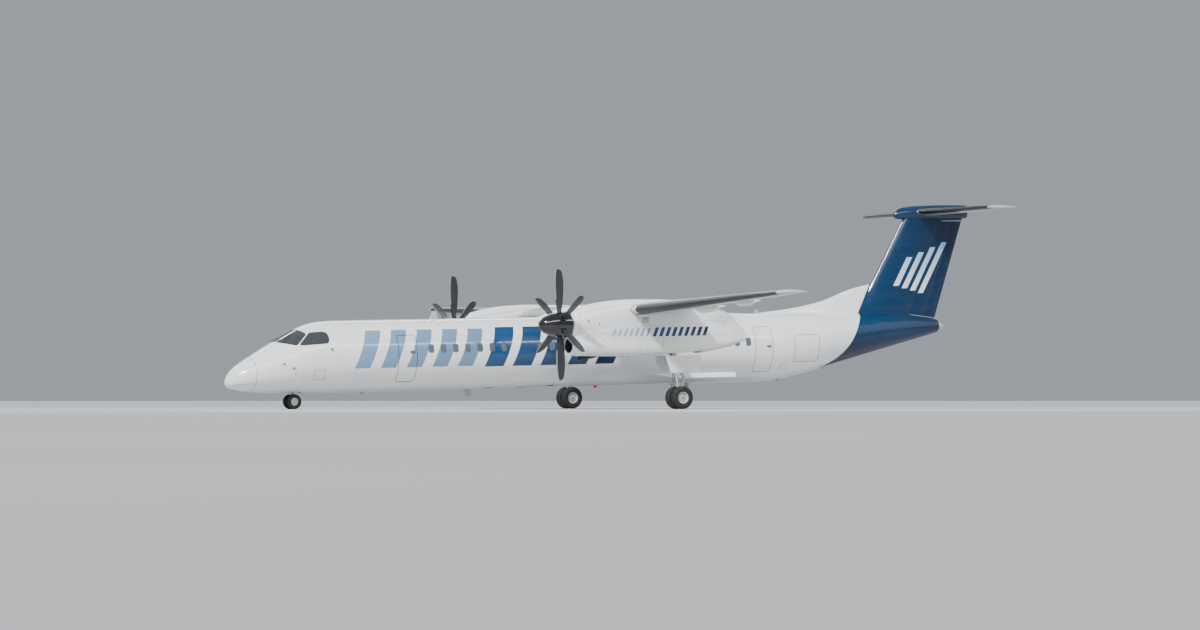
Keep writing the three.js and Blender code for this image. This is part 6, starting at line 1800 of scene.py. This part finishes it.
def link_plate(start, end, wide, thick, off=0.0):
    """A torque-link arm: a flat bar with round eyes, lying in the plane of the wheels."""
    start, end = (Vector(spot) + ACROSS * (off - thick / 2) for spot in (start, end))
    axis = (end - start).normalized()
    across = Vector((-axis.z, 0, axis.x))
    outline = [spot + (axis * math.sin(turn) - across * math.cos(turn)) * way * wide
               for spot, way in ((start, -1), (end, 1)) for turn in spread(0, math.pi, 9)]
    return prism(outline, ACROSS * thick)


class AIRLINER_OT_main_gear(bpy.types.Operator):
    """Builds both main legs with their wheels, brakes, links, hoses and doors"""

    bl_idname = "airliner.main_gear"
    bl_label = "Main gear"

    def execute(self, context):
        for name, side in SIDES.items():
            y = side * NACELLE_OUT
            top, axle = Vector((16.33, y, 0.48)), Vector((AXLE_STATION, y, AXLE_HEIGHT))
            down = (axle - top).normalized()
            sleeve = top + down * ((-0.76 - top.z) / down.z)
            self.leg(name, top, down, sleeve, axle)
            self.brakes(name, top, down, sleeve, axle)
            self.doors(name, y, top, down)
            for way in (-1, 1):
                place = f"{name}_outer" if way == side else f"{name}_inner"
                wheel(MAIN_TYRE, axle + ACROSS * way * 0.225, way, f"main_wheels_{name}", "main", place)
        return {"FINISHED"}

    def leg(self, name, top, down, sleeve, axle):
        foot, head = top + down * 0.9, Vector((15.735, top.y, 0.3))
        casting = join(
            bar(top - down * 0.08, sleeve, 0.092, 0.088, 40, 0.006),
            pin(top, 0.42, 0.06, 32, 0.004),
            bar(sleeve - down * 0.045, sleeve + down * 0.015, 0.108, segments=40, edge=0.006),
            pin(foot, 0.09, 0.05, 24, 0.004),
            bar(top + down * 0.3, top + down * 0.36, 0.104, segments=40, edge=0.006),
            bar(top + down * 0.62, top + down * 0.66, 0.1, segments=40, edge=0.005))
        emit(f"main_leg_casting_{name}", casting, "gear", f"main_leg_{name}")
        emit(f"main_piston_{name}", bar(sleeve - down * 0.03, axle - down * 0.03, 0.058, segments=40), "chrome")
        beam = join(pin(axle, 0.164, 0.062, 36, 0.005), pin(axle, 0.305, 0.046, 32),
                    bar(axle - down * 0.13, axle, 0.075, segments=36, edge=0.006))
        emit(f"main_axle_{name}", beam, "gear")
        stay = join(bar(foot, head, 0.038, segments=28), bar(foot, foot.lerp(head, 0.3), 0.05, 0.044, 28, 0.004))
        emit(f"main_stay_{name}", stay, "gear")
        knee = sleeve + down * 0.33 + AFT * 0.33
        joints = (sleeve - down * 0.06 + AFT * 0.085, knee, axle - down * 0.11 + AFT * 0.06)
        links = [link_plate(*joints[:2], 0.036, 0.028, off) for off in (-0.05, 0.05)]
        links += [link_plate(*joints[1:], 0.036, 0.028, off) for off in (-0.018, 0.018)]
        links += [pin(spot, 0.075, 0.02, 20, 0.003) for spot in joints]
        emit(f"main_links_{name}", join_all(links), "gear")

    def brakes(self, name, top, down, sleeve, axle):
        brakes, hoses = [], []
        for way in (-1, 1):
            out = ACROSS * way
            inner = axle + out * 0.163
            brakes.append(bar(inner, inner - out * 0.05, 0.15, segments=40, edge=0.006))
            brakes += [bar(spot - out * 0.045, spot - out * 0.066, 0.022, segments=18, edge=0.003)
                       for spot in spots_round(inner, 0.105, 6)]
            line = [top + down * 0.2 - AFT * 0.1 + out * 0.03, top + down * 0.75 - AFT * 0.105 + out * 0.03,
                    sleeve - AFT * 0.12 + out * 0.035, sleeve + down * 0.45 - AFT * 0.13 + out * 0.07,
                    axle - AFT * 0.1 + out * 0.1 + UP * 0.1, axle - AFT * 0.05 + out * 0.12 + UP * 0.03]
            hoses.append(bent_bar(line, 0.011, 12))
        emit(f"main_brakes_{name}", join_all(brakes), "brake")
        emit(f"main_hoses_{name}", join_all(hoses), "hose")
        clips = [bar(top + down * far - AFT * 0.07, top + down * far - AFT * 0.125, 0.026, segments=16, edge=0.003)
                 for far in (0.45, 0.85, 1.15)]
        emit(f"hose_clips_{name}", join_all(clips), "steel")

    def doors(self, name, y, top, down):
        doors, rods = [], []
        for way in (-1, 1):
            near = y + way * 0.422
            for outline, radius, first, second in LEG_DOOR:
                doors.append(side_prism(rounded_outline(outline, radius), near + way * first, near + way * second))
            for z in (-0.42, -0.72):
                root = top + down * ((z - top.z) / down.z)
                rods.append(bar(root, root + ACROSS * way * 0.425, 0.016, segments=20))
        emit(f"leg_doors_{name}", join_all(doors), "nacelle")
        emit(f"leg_door_rods_{name}", join_all(rods), "gear")


class AIRLINER_OT_nose_gear(bpy.types.Operator):
    """Builds the nose leg with its fork, wheels, taxi light and doors"""

    bl_idname = "airliner.nose_gear"
    bl_label = "Nose gear"

    def execute(self, context):
        x = NOSE_STATION
        axle = Vector((x, 0, NOSE_HEIGHT))
        casting = join(bar((x, 0, -0.7), (x, 0, -1.33), 0.078, segments=40, edge=0.005),
                       pin((x, 0, -0.74), 0.34, 0.042, 28, 0.004), bar((x, 0, -1.16), (3.0, 0, -0.76), 0.03),
                       bar((x, 0, -1.0), (x, 0, -1.1), 0.09, segments=40, edge=0.006))
        emit("nose_leg_casting", casting, "gear", "nose_leg")
        lamp = Vector((x, 0, -1.22))
        housing = join(bar(lamp - AFT * 0.16, lamp - AFT * 0.09, 0.065, 0.05, 32, 0.004),
                       bar(lamp - AFT * 0.1, lamp, 0.02, segments=16))
        emit("taxi_light_housing", housing, "steel")
        lens = bar(lamp - AFT * 0.166, lamp - AFT * 0.158, 0.058, segments=32, edge=0.002)
        emit("taxi_light_lens", lens, "clear")
        fork = join(bar((x, 0, -1.3303), (x, 0, -1.4), 0.086, segments=40, edge=0.005),
                    pin(axle, 0.1297, 0.046, 32, 0.004), pin(axle, 0.224, 0.032, 28),
                    block((x - 0.105, -0.045, NOSE_HEIGHT - 0.034), (x, 0.045, NOSE_HEIGHT + 0.034)))
        emit("nose_fork_casting", fork, "gear", "nose_fork", body="nose_fork")
        emit("nose_piston", bar((x, 0, -1.36), axle, 0.048, segments=36), "chrome", body="nose_fork")
        knee = Vector((x + 0.2, 0, -1.52))
        links = [link_plate((x + 0.07, 0, -1.38), knee, 0.022, 0.02, off) for off in (-0.03, 0.03)]
        links += [link_plate(knee, axle + AFT * 0.04 + UP * 0.03, 0.022, 0.02), pin(knee, 0.045, 0.012, 16, 0.002)]
        emit("nose_links", join_all(links), "gear", body="nose_fork")
        for name, side in SIDES.items():
            wheel(NOSE_TYRE, axle + ACROSS * side * 0.175, side, "nose_wheels", "nose", name)
            zone = block((NOSE_BAY.door + RUN, side * 0.003, -1.5),
                         (NOSE_BAY.split - RUN, side * (NOSE_BAY.door_half - RUN), -0.9))
            door = f"nose_gear_door_{name}"
            emit(f"nose_door_{name}", common(hull_shell(1.3, 2.5, 0.0, 0.045), zone), "cabin", door, body=door)
        frames = bay_ribs(spread(1.6, 2.26, 4), 0, 0.008, NOSE_BAY, 0.04, 0.022, -1.05)
        emit("nose_bay_frames", frames, "primer")
        pipes = [bent_bar([(1.45, off, -0.62), (1.9, off, -0.615), (2.4, off * 0.9, -0.62)], 0.008)
                 for off in (-0.2, -0.16, 0.19)]
        emit("nose_bay_pipes", join_all(pipes), "steel")
        return {"FINISHED"}


# ---- Passenger door with stairs

TREADS, RAIL_OUT = 6, 0.298


class AIRLINER_OT_airstair(bpy.types.Operator):
    """Builds the passenger door with its stairs, side rails and handles"""

    bl_idname = "airliner.airstair"
    bl_label = "Airstair"

    def execute(self, context):
        whole = common(hull(6.2, 7.4), side_prism(DOOR_OUTLINE, -1.5, -0.6))
        skin = cut(whole, hull(6.1, 7.5, -DOOR.skin), lining=True)
        emit("airstair_skin", skin, "cabin", "airstair_door", body="airstair", lining="gear")
        grip_on("airstair_handle", 7.0, 0.1, -1.5, -0.6, 0.1, (0.002, 0.005), (0.012, 0.004), body="airstair")
        self.stairs()
        rim = rim_prism(DOOR_OUTLINE, 0.022, 0.0082, -0.3, -1.5)
        emit("airstair_door_seal", common(hull_shell(6.2, 7.4, 0.0025, 0.02), rim), "seal")
        return {"FINISHED"}

    def stairs(self):
        """Treads that lie level once the door is down, and the rails that carry them."""

        def skin_spot(share, inward):
            z = DOOR.sill + DOOR.tall * share
            return inward - math.sqrt(CABIN_RADIUS**2 - z * z), z

        tilt = math.radians(180 - DOOR.swing)
        along, up = Vector((0, math.cos(tilt), math.sin(tilt))), Vector((0, -math.sin(tilt), math.cos(tilt)))

        def sheet(start, half, near, far, thick):
            corners = ((-half, near), (half, near), (half, far), (-half, far))
            return prism([start + AFT * off + along * reach for off, reach in corners], up * thick)

        plates, edges, rails = [], [], []
        for share in spread(0.17, 0.82, TREADS):
            start = Vector((DOOR.middle, *skin_spot(share, 0.049)))
            plate = sheet(start - up * 0.011, 0.29, 0.0, 0.213, 0.022)
            round_edges(plate, plate.edges[:], 0.004)
            plates.append(plate)
            edges.append(sheet(start + up * 0.0112, 0.28, 0.18, 0.21, -0.002))
        outer, inner = ([skin_spot(share, inward) for share in spread(0.12, 0.96, 14)] for inward in (0.042, 0.125))
        for way in (-1, 1):
            near = DOOR.middle + way * RAIL_OUT - 0.009
            rails.append(prism([(near, y, z) for y, z in outer + inner[::-1]], AFT * 0.018))
        emit("airstair_treads", join_all(plates), "tread", body="airstair")
        emit("airstair_tread_edges", join_all(edges), "seal", body="airstair")
        emit("airstair_rails", join_all(rails), "gear", body="airstair")


# ---- Floor, light and camera

CAMERA_AZIMUTH, CAMERA_DISTANCE, CAMERA_HEIGHT, VIEW_WIDTH = math.radians(-28.6), 140.0, 0.35, 46.0
CAMERA_TARGET = Vector((-1.2, -0.9, 3.6))
SUNS = {"key": ((47, 0, -54), 4.4, 4), "fill": ((66, 0, 62), 0.4, 40)}  # turn, strength and width, in degrees
SOFTBOXES = {"left_softbox": ((-4, -26, 20), 6000), "right_softbox": ((-4, 26, 22), 4500)}  # place and power


def add_to_scene(name, data):
    thing = bpy.data.objects.new(name, data)
    bpy.context.scene.collection.objects.link(thing)
    return thing


def aim(thing, spot, target):
    thing.location = spot
    thing.rotation_mode = "QUATERNION"
    thing.rotation_quaternion = (Vector(target) - Vector(spot)).to_track_quat("-Z", "Y")


class AIRLINER_OT_stage(bpy.types.Operator):
    """Builds the pale floor, the soft studio light and the camera"""

    bl_idname = "airliner.stage"
    bl_label = "Stage"

    def execute(self, context):
        bm = bmesh.new()
        bmesh.ops.create_grid(bm, x_segments=1, y_segments=1, size=900.0)
        floor = loose_object("floor", bm)
        material, shader = new_finish("studio_floor", Roughness=0.85)
        shade = remap(noise(object_place(shader), 0.06), 0.3, 0.7)
        feed(shader.inputs["Base Color"], blend(shade, (0.47, 0.48, 0.49), (0.52, 0.53, 0.54)))
        floor.data.materials.append(material)
        world = bpy.data.worlds.new("studio")
        context.scene.world = world
        world.use_nodes = True
        background = world.node_tree.nodes["Background"]
        background.inputs["Color"].default_value = (0.82, 0.88, 0.96, 1)
        background.inputs["Strength"].default_value = 0.44
        for name, (turn, strength, width) in SUNS.items():
            lamp = bpy.data.lights.new(name, "SUN")
            lamp.energy = strength
            lamp.angle = math.radians(width)
            add_to_scene(name, lamp).rotation_euler = [math.radians(v) for v in turn]
        for name, (spot, power) in SOFTBOXES.items():
            lamp = bpy.data.lights.new(name, "AREA")
            lamp.shape = "RECTANGLE"
            lamp.size, lamp.size_y = 60, 1.6
            lamp.energy = power
            light = add_to_scene(name, lamp)
            aim(light, spot, (spot[0], 0, 3))
            light.visible_camera = False
        camera = add_to_scene("camera", bpy.data.cameras.new("camera"))
        context.scene.camera = camera
        back = Vector((math.sin(CAMERA_AZIMUTH), -math.cos(CAMERA_AZIMUTH), 0))
        spot = CAMERA_TARGET + back * CAMERA_DISTANCE
        aim(camera, (spot.x, spot.y, CAMERA_HEIGHT), CAMERA_TARGET)
        camera.data.lens = camera.data.sensor_width * CAMERA_DISTANCE / VIEW_WIDTH
        camera.data.clip_end = 3000
        return {"FINISHED"}


class AIRLINER_OT_finishes(bpy.types.Operator):
    """Makes every paint, rubber, metal and glass finish"""

    bl_idname = "airliner.finishes"
    bl_label = "Finishes"

    def execute(self, context):
        make_finishes()
        return {"FINISHED"}


OPERATORS = (
    AIRLINER_OT_stage, AIRLINER_OT_finishes, AIRLINER_OT_cabin, AIRLINER_OT_glazing, AIRLINER_OT_hatches,
    AIRLINER_OT_cabin_fittings, AIRLINER_OT_airstair, AIRLINER_OT_wings, AIRLINER_OT_tail, AIRLINER_OT_nacelles,
    AIRLINER_OT_propellers, AIRLINER_OT_main_gear, AIRLINER_OT_nose_gear,
)


class AIRLINER_PT_panel(bpy.types.Panel):
    """Lists the airliner's groups of pieces"""

    bl_idname = "AIRLINER_PT_panel"
    bl_label = "Airliner"
    bl_space_type = "VIEW_3D"
    bl_region_type = "UI"
    bl_category = "Airliner"

    def draw(self, context):
        for operator in OPERATORS:
            self.layout.operator(operator.bl_idname)
        for group in (context.scene.airliner_sizes, context.scene.airliner_colours):
            for title in group.__annotations__:
                self.layout.prop(group, title)


CLASSES = (AirlinerSizes, AirlinerColours, *OPERATORS, AIRLINER_PT_panel)


def register():
    for item in CLASSES:
        bpy.utils.register_class(item)
    bpy.types.Scene.airliner_sizes = PointerProperty(type=AirlinerSizes)
    bpy.types.Scene.airliner_colours = PointerProperty(type=AirlinerColours)


def unregister():
    del bpy.types.Scene.airliner_colours
    del bpy.types.Scene.airliner_sizes
    for item in reversed(CLASSES):
        bpy.utils.unregister_class(item)


def main():
    register()
    for operator in OPERATORS:
        group, name = operator.bl_idname.split(".")
        getattr(getattr(bpy.ops, group), name)()


if __name__ == "__main__":
    main()
